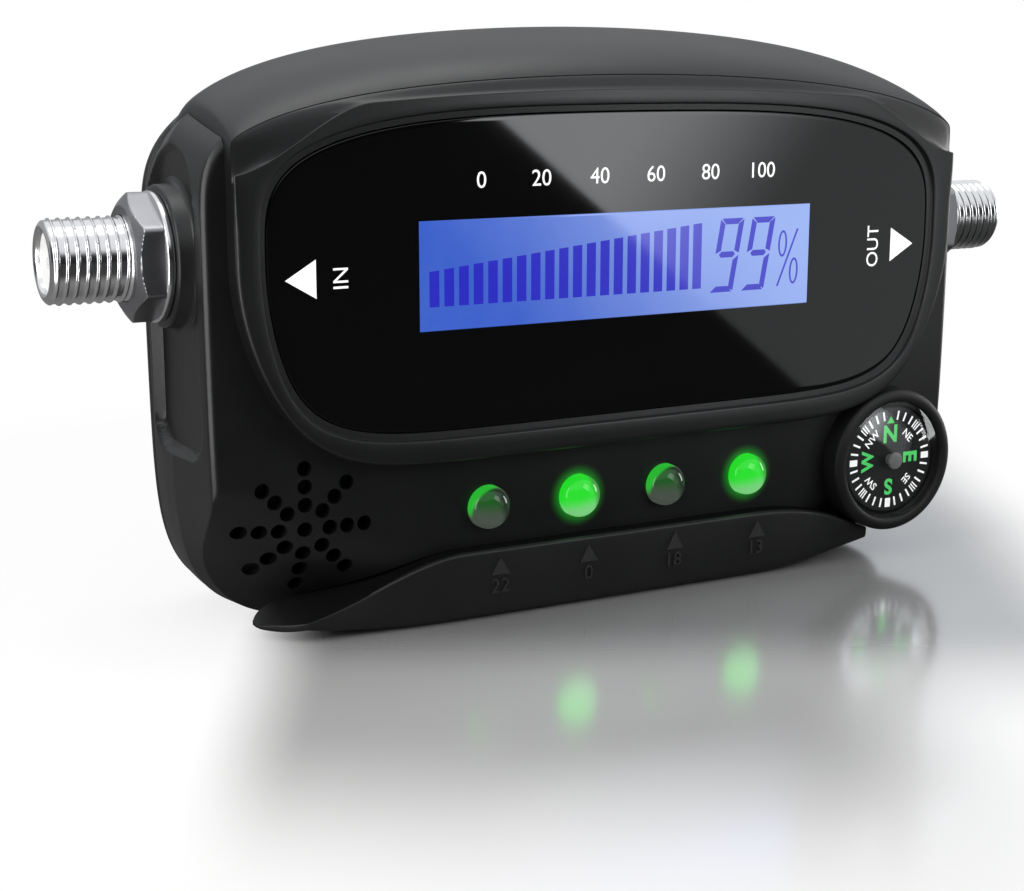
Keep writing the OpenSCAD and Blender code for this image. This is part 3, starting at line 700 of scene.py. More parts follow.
@dataclass
class Shape:
    """Points and faces of a closed form, in millimetres in the face frame."""

    points: np.ndarray
    faces: list[Face]

    @staticmethod
    def skin(rings: np.ndarray, around: bool = False) -> Shape:
        """Skin through rings of points.

        Args:
            rings: array of rings, points and coordinates.
            around: joins the last ring to the first; otherwise both are capped.

        Returns:
            The form.
        """
        count, n = rings.shape[:2]
        index = np.arange(count * n).reshape(count, n)
        faces: list[Face] = []
        for k in range(count if around else count - 1):
            low, high = index[k], index[(k + 1) % count]
            faces += list(
                zip(low.tolist(), np.roll(low, -1).tolist(), np.roll(high, -1).tolist(), high.tolist())
            )
        if not around:
            faces.append(tuple(index[0][::-1].tolist()))
            faces.append(tuple(index[-1].tolist()))
        return Shape(rings.reshape(-1, 3), faces)

    @staticmethod
    def turned(
        profile: Sequence[tuple[float, float]], centre: Sequence[float], axis: Axis, steps: int = 128
    ) -> Shape:
        """A closed profile turned about an axis.

        Args:
            profile: points of radius and place along the axis.
            centre: point of the axis.
            axis: its direction.
            steps: points of a turn.

        Returns:
            The form.
        """
        turn = full_turn(steps)
        rings = np.zeros((len(profile), steps, 3))
        for ring, (radius, along) in zip(rings, profile):
            sweep = (radius * np.cos(turn), radius * np.sin(turn))
            columns = (sweep[0], along, sweep[1]) if axis is Axis.DEPTH else (along, sweep[0], sweep[1])
            for k, column in enumerate(columns):
                ring[:, k] = centre[k] + column
        return Shape.skin(rings, around=True)

    @staticmethod
    def prism(outline: np.ndarray, front: float, back: float) -> Shape:
        """A flat outline drawn out in depth.

        Args:
            outline: its points of x and z.
            front: depth of its front.
            back: depth of its back.

        Returns:
            The form.
        """
        rings = np.zeros((2, len(outline), 3))
        for ring, depth in zip(rings, (front, back)):
            ring[:, 0] = outline[:, 0]
            ring[:, 1] = depth
            ring[:, 2] = outline[:, 1]
        return Shape.skin(rings)

    @staticmethod
    def post(x: float, z: float, radius: float, front: float, back: float, steps: int = 64) -> Shape:
        """A round post along the depth."""
        turn = full_turn(steps)
        return Shape.prism(np.c_[x + radius * np.cos(turn), z + radius * np.sin(turn)], front, back)

    @staticmethod
    def block(low: Sequence[float], high: Sequence[float]) -> Shape:
        """A block between two corners."""
        outline = np.array([(low[0], low[2]), (high[0], low[2]), (high[0], high[2]), (low[0], high[2])])
        return Shape.prism(outline, low[1], high[1])

    @staticmethod
    def joined(shapes: Iterable[Shape]) -> Shape:
        """Several forms as one.

        Args:
            shapes: the forms.

        Returns:
            The joined form.
        """
        points: list[np.ndarray] = []
        faces: list[Face] = []
        count = 0
        for shape in shapes:
            points.append(shape.points)
            faces += [tuple(i + count for i in face) for face in shape.faces]
            count += len(shape.points)
        return Shape(np.concatenate(points), faces)

    def mirrored(self) -> Shape:
        """The form at the other end of the meter."""
        return Shape(self.points * np.array([-1.0, 1.0, 1.0]), [tuple(reversed(f)) for f in self.faces])

    def moved(self, change: Callable[[np.ndarray], np.ndarray]) -> Shape:
        """The form with its points changed."""
        return Shape(change(self.points), self.faces)

    def build(self, name: str) -> bpy.types.Object:
        """Makes an object of the form, welded and facing outwards.

        Args:
            name: name of the object.

        Returns:
            The object.
        """
        mesh = bpy.data.meshes.new(name)
        mesh.from_pydata(((self.points + FACE_ORIGIN) * MM).tolist(), [], self.faces)
        work = bmesh.new()
        work.from_mesh(mesh)
        bmesh.ops.remove_doubles(work, verts=work.verts, dist=1e-7)
        bmesh.ops.recalc_face_normals(work, faces=work.faces)
        work.to_mesh(mesh)
        work.free()
        made = bpy.data.objects.new(name, mesh)
        bpy.context.scene.collection.objects.link(made)
        return made


class Lettering:
    """Plain figures and letters as thin closed forms."""

    @staticmethod
    def word(text: str, height: float, thick: float, bold: float = 0.0) -> Shape:
        """A word in the face plane, centred on the origin.

        Args:
            text: its letters.
            height: height of a capital letter.
            thick: thickness of the film.
            bold: growth of the strokes.

        Returns:
            The form, its back at depth 0.
        """
        curve = bpy.data.curves.new("word", "FONT")
        curve.body = text
        curve.size = 1.0
        curve.resolution_u = 6
        curve.extrude = 0.01
        curve.offset = bold
        letter = bpy.data.objects.new("word", curve)
        bpy.context.scene.collection.objects.link(letter)
        shot = letter.evaluated_get(bpy.context.evaluated_depsgraph_get())
        mesh = shot.to_mesh()
        points = np.array([v.co[:] for v in mesh.vertices])
        faces = [tuple(p.vertices) for p in mesh.polygons]
        shot.to_mesh_clear()
        bpy.data.objects.remove(letter)
        bpy.data.curves.remove(curve)
        low, high = points.min(0), points.max(0)
        scale = height / (high[1] - low[1])
        flat = (points - (low + high) / 2.0) * scale
        depth = np.where(points[:, 2] > 0.0, -thick, 0.0)
        return Shape(np.c_[flat[:, 0], depth, flat[:, 1]], faces)


def carve(target: bpy.types.Object, cutter: Shape) -> None:
    """Cuts a form out of an object.

    Args:
        target: the object.
        cutter: the form to take away.
    """
    tool = cutter.build("cutter")
    cut = target.modifiers.new("cut", "BOOLEAN")
    cut.operation = "DIFFERENCE"
    cut.solver = "EXACT"
    cut.object = tool
    shot = target.evaluated_get(bpy.context.evaluated_depsgraph_get())
    mesh = bpy.data.meshes.new_from_object(shot)
    target.modifiers.clear()
    old = target.data
    target.data = mesh
    bpy.data.meshes.remove(old)
    bpy.data.objects.remove(tool)


def soften(target: bpy.types.Object, angle: float = 32.0) -> None:
    """Shades an object smooth, with creases where its faces turn by more than an angle.

    Args:
        target: the object.
        angle: the angle in degrees.
    """
    mesh = target.data
    mesh.polygons.foreach_set("use_smooth", np.ones(len(mesh.polygons), bool))
    mesh.set_sharp_from_angle(angle=math.radians(angle))
    mesh.update()


def dress(piece: bpy.types.Object, finish: Union[Finishes, Finish]) -> None:
    """Gives a piece its finish in place of any other."""
    piece.data.materials.clear()
    piece.data.materials.append(finish.material())


def fit_out(
    piece: bpy.types.Object,
    finish: Union[Finishes, Finish],
    body: str = HOUSING,
    nodes: Sequence[str] = (),
) -> None:
    """Gives a piece its finish, its body and the nodes it stands for.

    Args:
        piece: the piece.
        finish: its finish.
        body: body that it rides on.
        nodes: nodes that it replaces.
    """
    dress(piece, finish)
    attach(piece, body)
    if nodes:
        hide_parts(*nodes)
    LOG.info("%s: %d faces on %s", piece.name, len(piece.data.polygons), body)


# Housing


@dataclass(frozen=True)
class Outline:
    """A rounded outline: superellipse halves above and below, with an arched top and slanted foot."""

    half_top: float
    half_low: float
    rise: float
    drop: float
    top_n: float
    low_n: float
    arch: float = 0.0
    tilt: float = 0.0
    barrel: float = 0.0

    def points(self, phi: np.ndarray) -> np.ndarray:
        """Points of the outline.

        Args:
            phi: angles about the connector axis.

        Returns:
            Array of x and z.
        """
        cos, sin = np.abs(np.cos(phi)), np.abs(np.sin(phi))
        top = np.sin(phi) >= 0.0
        n = np.where(top, self.top_n, self.low_n)
        a = np.where(top, self.half_top, self.half_low)
        b = np.where(top, self.rise, self.drop)
        radius = ((cos / a) ** n + (sin / b) ** n) ** (-1.0 / n)
        x, z = radius * np.cos(phi), radius * np.sin(phi)
        up = z * (1.0 - self.arch / self.rise * (x / self.half_top) ** 2)
        low_x = x * (1.0 - self.barrel * (z / self.drop) ** 2)
        low_z = z - self.tilt * x * z / self.drop
        return np.c_[np.where(top, x, low_x), np.where(top, up, low_z)]


@dataclass(frozen=True)
class Housing:
    """Sizes and outlines that the housing's mouldings share, in millimetres in the face frame."""

    half_w: float = 52.0
    depth: float = 27.0
    axis_h: float = 43.4
    crown_h: float = 25.2
    wall: float = 2.0
    seam_d: float = 21.5
    back_round: float = 4.2
    band_d: float = 2.2
    front_half: float = 51.2
    seam_half: float = 51.7
    edge_d: float = 0.55
    edge_w: float = 0.6
    dome_d: float = 8.6
    dome_w: float = 11.0
    cowl_half: float = 48.4
    shelf_h: float = 12.5
    lip_out: float = 0.8
    crease_h: float = 17.6
    cowl_drop: float = 23.65
    cowl_low_n: float = 8.7
    cowl_barrel: float = 0.212
    crown_d: float = 14.0
    crown_arch: float = 5.5
    crease_arch: float = 3.5
    shoulder_step: float = 1.2
    tilt: float = 0.003
    window_half: float = 44.95
    window_up: float = 15.55
    window_drop: float = 20.05
    window_t: float = 1.5
    window_arch: float = 0.85
    window_top_n: float = 3.8
    window_low_n: float = 7.5
    window_barrel: float = 0.125
    body_top_n: float = 5.4
    back_top_n: float = 4.0
    body_low_n: float = 8.0
    barrel: float = 0.01
    crown_n: float = 1.7
    crown_fall: float = 0.012
    fit_gap: float = 0.05

    @property
    def inside_d(self) -> float:
        """Depth of the inside of the lamp band."""
        return self.band_d + self.wall

    def rise_share(self, d: float) -> float:
        """Share of the crown's rise that is reached at a depth."""
        left = 1.0 - min(1.0, (d + self.lip_out) / (self.crown_d + self.lip_out))
        return (1.0 - left**self.crown_n) ** (1.0 / self.crown_n)

    def crown(self, d: float) -> float:
        """Height of the cowl's crown at a depth."""
        fall = self.crown_fall * max(0.0, d - self.crown_d) ** 2
        return self.crease_h + (self.crown_h - self.crease_h) * self.rise_share(d) - fall

    def arch(self, d: float) -> float:
        """Fall of the crown from the middle to a cheek at a depth."""
        return self.crease_arch + (self.crown_arch - self.crease_arch) * self.rise_share(d)

    def top_n(self, d: float) -> float:
        """Squareness of the crown at a depth."""
        share = float(ramp(d, self.crown_d, self.seam_d))
        return self.body_top_n + (self.back_top_n - self.body_top_n) * share

    def body(self, half: float, d: float, inset: float = 0.0) -> Outline:
        """Outline of the front shell."""
        return Outline(
            half - inset,
            half - inset,
            self.crown(d) - self.shoulder_step - inset,
            self.axis_h - inset,
            self.top_n(d),
            self.body_low_n,
            self.arch(d),
            0.0,
            self.barrel,
        )

    def back(self, inset: float) -> Outline:
        """Outline of the rear shell.

        Args:
            inset: distance in from its edge.

        Returns:
            The outline.
        """
        half = self.seam_half - inset
        rise = self.crown(self.seam_d) - inset
        return Outline(
            half,
            half,
            rise,
            self.axis_h - inset,
            self.back_top_n,
            self.body_low_n,
            self.arch(self.seam_d),
            0.0,
            self.barrel,
        )

    def cowl(self, d: float, inset: float = 0.0) -> Outline:
        """Outline of the cowl."""
        return Outline(
            self.half_w,
            self.cowl_half - inset,
            self.crown(d),
            self.cowl_drop - inset,
            self.top_n(d),
            self.cowl_low_n,
            self.arch(d),
            self.tilt,
            self.cowl_barrel,
        )

    def window(self, inset: float = 0.0) -> Outline:
        """Outline of the window."""
        half = self.window_half - inset
        return Outline(
            half,
            half,
            self.window_up - inset,
            self.window_drop - inset,
            self.window_top_n,
            self.window_low_n,
            self.window_arch,
            self.tilt,
            self.window_barrel,
        )

    def ring(self, outline: Outline, phi: np.ndarray, d: float) -> np.ndarray:
        """Points of an outline at a depth."""
        flat = outline.points(phi)
        return np.c_[flat[:, 0], np.full(len(phi), d), flat[:, 1]]


@dataclass
class FrontShell:
    """Front shell: cheeks, lamp band, domed lower corners, grille and arched recesses."""

    form: Housing
    steps: int = 1100
    face_rings: int = 40
    face_power: float = 1.6
    side_rings: int = 44
    side_shares: tuple[float, ...] = (0.6, 0.2, 0.2)
    polish: int = 2
    polish_span: tuple[int, int] = (12, 10)
    dome_low: tuple[float, float] = (19.0, 7.0)
    dome_side: tuple[float, float] = (26.0, 14.0)
    dome_power: float = 1.8
    edge_power: float = 1.15
    recess_d: float = 1.4
    recess_half: float = 7.9
    recess_y: float = 12.6
    recess_up: float = 12.6
    recess_drop: float = 22.5
    recess_edge: float = 0.9
    recess_lip: float = 0.1
    recess_corner: float = 4.0
    recess_from: float = 1.2
    grille: tuple[float, float] = (-40.3, -30.3)
    grille_hole: float = 0.88
    grille_rows: tuple[float, ...] = (2.9, 5.0, 7.1)
    grille_spokes: int = 8
    grille_d: float = 4.6
    lamps: tuple[float, ...] = LAMP_X
    lamp_z: float = LAMP_Z
    lamp_r: float = 2.64
    compass: tuple[float, float] = (COMPASS_X, COMPASS_Z)
    compass_r: float = 9.45
    compass_d: float = 4.4
    glass_low: tuple[float, float] = (-30.05, -11.85)
    glass_high: tuple[float, float] = (30.05, 7.25)
    room: tuple[float, float] = (18.75, 33.6)
    room_n: tuple[float, float] = (4.0, 5.0)
    foot_up: float = 6.25
    foot_n: tuple[float, float] = (4.0, 8.0)
    foot_from: float = 12.75
    seat_far: tuple[float, float, float] = (-10.0, 50.0, 60.0)
    conn_y: float = CONNECTOR_Y
    thread_r: float = 4.85
    bore_x: tuple[float, float] = (40.0, 60.0)
    pad_r: float = 7.97
    pad_x: float = 52.85
    pad_soft: float = 0.35
    pad_root: float = 0.8
    pad_flare: float = 0.9
    cut_from: float = -5.0
    overrun: float = 1.0

    def face_ring(self, phi: np.ndarray, inset: float) -> np.ndarray:
        """Ring of the face.

        Args:
            phi: angles about the connector axis.
            inset: distance in from the face's edge.

        Returns:
            Points of the ring.
        """
        form = self.form
        flat = form.body(form.front_half, form.inside_d, inset).points(phi)
        low = ramp(-flat[:, 1], *(form.axis_h - height for height in self.dome_low))
        side = ramp(np.abs(flat[:, 0]), *(form.half_w - width for width in self.dome_side))
        dome = form.dome_d * max(0.0, 1.0 - inset / form.dome_w) ** self.dome_power * low * side
        edge = form.edge_d * max(0.0, 1.0 - inset / form.edge_w) ** self.edge_power
        return np.c_[flat[:, 0], form.band_d + np.maximum(edge, dome), flat[:, 1]]

    def outside(self) -> np.ndarray:
        """Rings of the shell's outside, from the lamp band to the parting line.

        Returns:
            Array of rings, points and coordinates.
        """
        form = self.form
        phi = full_turn(self.steps)
        insets = form.dome_w * np.linspace(1.0, 0.0, self.face_rings) ** self.face_power
        face = [self.face_ring(phi, float(i)) for i in insets]
        mid_d = (form.crown_d + form.seam_d) / 2.0
        mid_half = form.half_w - (form.half_w - form.seam_half) / 4.0
        marks = [
            face[-1],
            form.ring(form.body(form.half_w, form.crown_d), phi, form.crown_d),
            form.ring(form.body(mid_half, mid_d), phi, mid_d),
            form.ring(form.body(form.seam_half, form.seam_d), phi, form.seam_d),
        ]
        side = []
        for start, end, share in zip(marks, marks[1:], self.side_shares):
            count = int(self.side_rings * share)
            side += [start + (end - start) * (k + 1) / count for k in range(count)]
        rings = np.array(face + side)
        first, last = self.face_rings - self.polish_span[0], self.face_rings + self.polish_span[1]
        for _ in range(self.polish):
            mean = (rings[first - 1 : last - 1] + rings[first + 1 : last + 1]) / 2.0
            rings[first:last] = (rings[first:last] + mean) / 2.0
        return rings

    def sunk(self, points: np.ndarray) -> np.ndarray:
        """Presses the arched recesses into both cheeks.

        Args:
            points: points of the shell's outside.

        Returns:
            The pressed points.
        """
        across = np.abs(points[:, 0])
        y, z = points[:, 1] - self.recess_y, points[:, 2]
        centre = self.recess_up - self.recess_half
        arch = np.hypot(y, z - centre) - self.recess_half
        low_y = np.maximum(np.abs(y) - self.recess_half + self.recess_corner, 0.0)
        low_z = np.maximum(-z - self.recess_drop + self.recess_corner, 0.0)
        shaft = np.hypot(low_y, low_z) - self.recess_corner
        edge = np.where(z > centre, arch, np.maximum(shaft, np.abs(y) - self.recess_half))
        share = 1.0 - ramp(edge, -self.recess_edge, self.recess_lip)
        floor = self.form.half_w - self.recess_d
        moved = across - np.maximum(across - floor, 0.0) * share
        side = np.where(points[:, 1] > self.form.band_d + self.recess_from, moved, across)
        return np.c_[np.sign(points[:, 0]) * side, points[:, 1], points[:, 2]]

    def holes(self) -> Shape:
        """Holes of the grille, the lamps, the compass and the display glass.

        Returns:
            One cutter for all of them.
        """
        x, z = self.grille
        spots = [self.grille]
        for spoke in range(self.grille_spokes):
            turn = 2.0 * math.pi * spoke / self.grille_spokes
            spots += [(x + row * math.cos(turn), z + row * math.sin(turn)) for row in self.grille_rows]
        start, through = self.cut_from, self.form.inside_d + self.overrun
        deep = self.form.inside_d + self.grille_d
        cuts = [Shape.post(*spot, self.grille_hole, start, deep, 32) for spot in spots]
        cuts += [Shape.post(at, self.lamp_z, self.lamp_r, start, through) for at in self.lamps]
        cuts.append(Shape.post(*self.compass, self.compass_r, start, self.compass_d, 160))
        (x0, z0), (x1, z1) = self.glass_low, self.glass_high
        cuts.append(Shape.block((x0, 0.0, z0), (x1, through, z1)))
        return Shape.joined(cuts)

    def inside(self) -> list[Shape]:
        """Cavity of the shell and the seat of the cowl.

        Returns:
            Cutters of both.
        """
        form = self.form
        phi = full_turn(256)
        half = form.half_w - self.recess_d - form.wall
        room = Outline(half, half, *self.room, *self.room_n)
        foot = Outline(half, half, self.foot_up, form.axis_h - form.wall, *self.foot_n, barrel=form.barrel)
        shelf = form.cowl_half + form.fit_gap
        front, back, top = self.seat_far
        end = form.seam_d + self.overrun
        return [
            Shape.prism(room.points(phi), form.inside_d, end),
            Shape.prism(foot.points(phi), self.foot_from, end),
            Shape.block((-shelf, front, form.shelf_h), (shelf, back, top)),
        ]

    def pad(self) -> Shape:
        """Pad for the washer at the right end.

        Returns:
            The form, its foot let into the cheek.
        """
        floor = self.form.half_w - self.recess_d
        radius, top, soft = self.pad_r, self.pad_x, self.pad_soft
        profile = [
            (self.thread_r, floor - self.pad_root),
            (radius + self.pad_flare, floor - self.pad_root),
            (radius + self.pad_flare, floor - 0.02),
            (radius + 0.35, floor + 0.12),
            (radius + 0.05, floor + 0.5),
            (radius, top - soft),
            (radius - soft * 0.3, top - soft * 0.3),
            (radius - soft, top),
            (self.thread_r, top),
        ]
        return Shape.turned(profile, (0.0, self.conn_y, 0.0), Axis.ACROSS, 160)

    def build(self, chin_seat: Shape) -> None:
        """Builds and dresses the shell and its pads.

        Args:
            chin_seat: seat of the chin bar, cut from the shell.
        """
        skin = Shape.skin(self.outside()).moved(self.sunk)
        shell = skin.build("front_shell_skin")
        start, end = self.bore_x
        profile = [(0.01, start), (self.thread_r, start), (self.thread_r, end), (0.01, end)]
        bore = Shape.turned(profile, (0.0, self.conn_y, 0.0), Axis.ACROSS, 64)
        bores = Shape.joined([bore, bore.mirrored()])
        for cutter in [*self.inside(), self.holes(), chin_seat, bores]:
            carve(shell, cutter)
        soften(shell)
        fit_out(shell, Finishes.SHELL, nodes=["front_shell"])
        pads = Shape.joined([self.pad(), self.pad().mirrored()]).build("washer_pads")
        soften(pads, 50.0)
        fit_out(pads, Finishes.SHELL)


@dataclass
class RearShell:
    """Rear shell with its rounded edge, parting groove and sunk screw seats."""

    form: Housing
    steps: int = 640
    rings: int = 22
    groove: tuple[tuple[float, float], ...] = ((0.35, 0.02), (0.35, 0.12), (0.08, 0.3))
    room_inset: float = 2.84
    screws: tuple[tuple[float, float], ...] = ((-40.0, 7.0), (40.0, 7.0), (-20.0, -35.6), (20.0, -35.6))
    head_r: float = 2.75
    head_seat: float = 24.4
    overrun: float = 1.0

    def build(self) -> None:
        """Builds and dresses the shell."""
        form = self.form
        phi = full_turn(self.steps)
        rings = [form.ring(form.back(inset), phi, form.seam_d + depth) for inset, depth in self.groove]
        start = form.seam_d + self.groove[-1][1]
        for turn in quarter_turn(self.rings)[1:]:
            inset = form.back_round * (1.0 - math.cos(turn))
            rings.append(form.ring(form.back(inset), phi, start + (form.depth - start) * math.sin(turn)))
        shell = Shape.skin(np.array(rings)).build("rear_shell_skin")
        room = form.back(self.room_inset).points(phi[::3])
        carve(shell, Shape.prism(room, form.seam_d - self.overrun, form.depth - form.wall))
        end = form.depth + self.overrun
        seats = [Shape.post(x, z, self.head_r, self.head_seat, end) for x, z in self.screws]
        carve(shell, Shape.joined(seats))
        soften(shell)
        fit_out(shell, Finishes.REAR, nodes=["rear_shell"])


@dataclass
class FaceCowl:
    """Cowl: the lip round the window, the strip under the crease and the arched top band."""

    form: Housing
    steps: int = 1200
    lip_rise: float = 18.1
    lip_bow: float = 0.0011
    lip_fall: float = 5.9
    lip_from: float = 32.5
    lip_to: float = 48.5
    bevel: tuple[tuple[float, float], ...] = (
        (0.05, 0.06),
        (0.4, 0.01),
        (0.70, -0.03),
        (0.75, -0.1),
        (0.79, -0.38),
        (0.83, -0.62),
        (0.9, -0.74),
    )
    bevel_w: float = 1.1
    lip: tuple[tuple[float, float, float], ...] = (
        (0.0, -0.8, -0.8),
        (0.4, -0.8, -0.8),
        (0.7, -0.8, -0.8),
        (0.82, -0.77, -0.8),
        (0.9, -0.69, -0.79),
        (0.95, -0.58, -0.77),
        (0.98, -0.45, -0.73),
        (1.0, -0.3, -0.66),
    )
    strip: tuple[tuple[float, float], ...] = ((0.3, 0.0), (0.6, 0.0), (0.85, 0.0), (0.95, 0.5), (1.0, 1.0))
    crease_d: float = 0.15
    groove: float = 0.12
    end_soft: float = 0.35
    mouth: tuple[float, float] = (1.45, 0.2)
    brow_fade: tuple[float, float] = (1.5, 8.5)
    band_rings: int = 40
    band_power: float = 1.6
    skirt: float = 0.05
    walls: tuple[float, float] = (1.6, 2.2)
    back_d: float = 1.7

    def clipped(self, across: np.ndarray) -> np.ndarray:
        """Draws places across the face in softly to the cowl's ends.

        Args:
            across: the places.

        Returns:
            The places, none past an end.
        """
        half, soft = self.form.cowl_half, self.end_soft
        drawn = half - soft * np.logaddexp(0.0, (half - np.abs(across)) / soft)
        return np.sign(across) * drawn

    def lip_edge(self, phi: np.ndarray) -> np.ndarray:
        """Outer edge of the lip: a brow above, the cowl's lower outline below.

        Args:
            phi: angles about the connector axis.

        Returns:
            Array of x and z.
        """
        form = self.form
        x = np.linspace(form.half_w, -form.half_w, 2001)
        fall = self.lip_fall * ramp(np.abs(x), self.lip_from, self.lip_to)
        z = self.lip_rise - self.lip_bow * x**2 - fall
        angle, radius = np.arctan2(z, x), np.hypot(x, z)
        steep = form.half_w / np.maximum(np.abs(np.cos(phi)), 1e-6)
        level = (phi >= angle[0]) & (phi <= angle[-1])
        reach = np.where(level, np.interp(phi, angle, radius), steep)
        brow = np.c_[self.clipped(reach * np.cos(phi)), reach * np.sin(phi)]
        low = form.cowl(0.0).points(phi)
        return np.where((np.sin(phi) >= 0.0)[:, None], brow, low)

    def front(self, phi: np.ndarray, edge: np.ndarray) -> list[np.ndarray]:
        """Rings of the bevel round the window and of the lip's face.

        Args:
            phi: angles about the connector axis.
            edge: outer edge of the lip.

        Returns:
            The rings, from the window outwards.
        """
        form = self.form
        flats = [(form.window(), depth) for depth in self.mouth]
        flats += [(form.window(-grown), depth) for grown, depth in self.bevel]
        rings = [form.ring(outline, phi, depth) for outline, depth in flats]
        rim = form.window(-self.bevel_w).points(phi)
        brow = ramp(edge[:, 1], *self.brow_fade)
        for share, soft, crisp in self.lip:
            flat = rim + (edge - rim) * share
            rings.append(np.c_[flat[:, 0], soft + (crisp - soft) * brow, flat[:, 1]])
        return rings

    def section(self, phi: np.ndarray) -> np.ndarray:
        """Rings of the cowl's closed section, from the window round to the window again.

        Args:
            phi: angles about the connector axis.

        Returns:
            Array of rings, points and coordinates.
        """
        form = self.form
        edge = self.lip_edge(phi)
        upper = (np.sin(phi) >= 0.0)[:, None]
        rings = self.front(phi, edge)
        lip = rings[-1]
        crease = form.ring(form.cowl(self.crease_d), phi, self.crease_d)
        crease[:, 0] = self.clipped(crease[:, 0])
        for share, dip in self.strip:
            strip = lip + (crease - lip) * share
            strip[:, 1] += self.groove * dip
            wall = np.c_[lip[:, 0], strip[:, 1], lip[:, 2]]
            rings.append(np.where(upper, strip, wall))
        steps = np.linspace(0.0, 1.0, self.band_rings)[1:]
        for d in (self.crease_d + (form.seam_d - self.crease_d) * steps**self.band_power).tolist():
            ring = form.ring(form.cowl(d), phi, d)
            ring[:, 0] = self.clipped(ring[:, 0])
            short = ~upper[:, 0] | (ring[:, 2] < form.shelf_h)
            flat = np.where(upper, ring, lip)
            flat[:, 1] = np.where(short, min(d, form.band_d + self.skirt), d)
            rings.append(flat)
        last = rings[-1]
        for inward, limit in zip(self.walls, (form.seam_d, form.inside_d)):
            span = np.hypot(last[:, 0], last[:, 2])
            inner = last * ((span - inward) / span)[:, None]
            inner[:, 1] = np.minimum(last[:, 1], limit)
            rings.append(inner)
        rings.append(form.ring(form.window(), phi, self.back_d))
        return np.array(rings)

    def build(self) -> None:
        """Builds and dresses the cowl."""
        phi = full_turn(self.steps)
        cowl = Shape.skin(self.section(phi), around=True).build("face_cowl_skin")
        soften(cowl, 40.0)
        fit_out(cowl, Finishes.COWL, nodes=["face_cowl"])


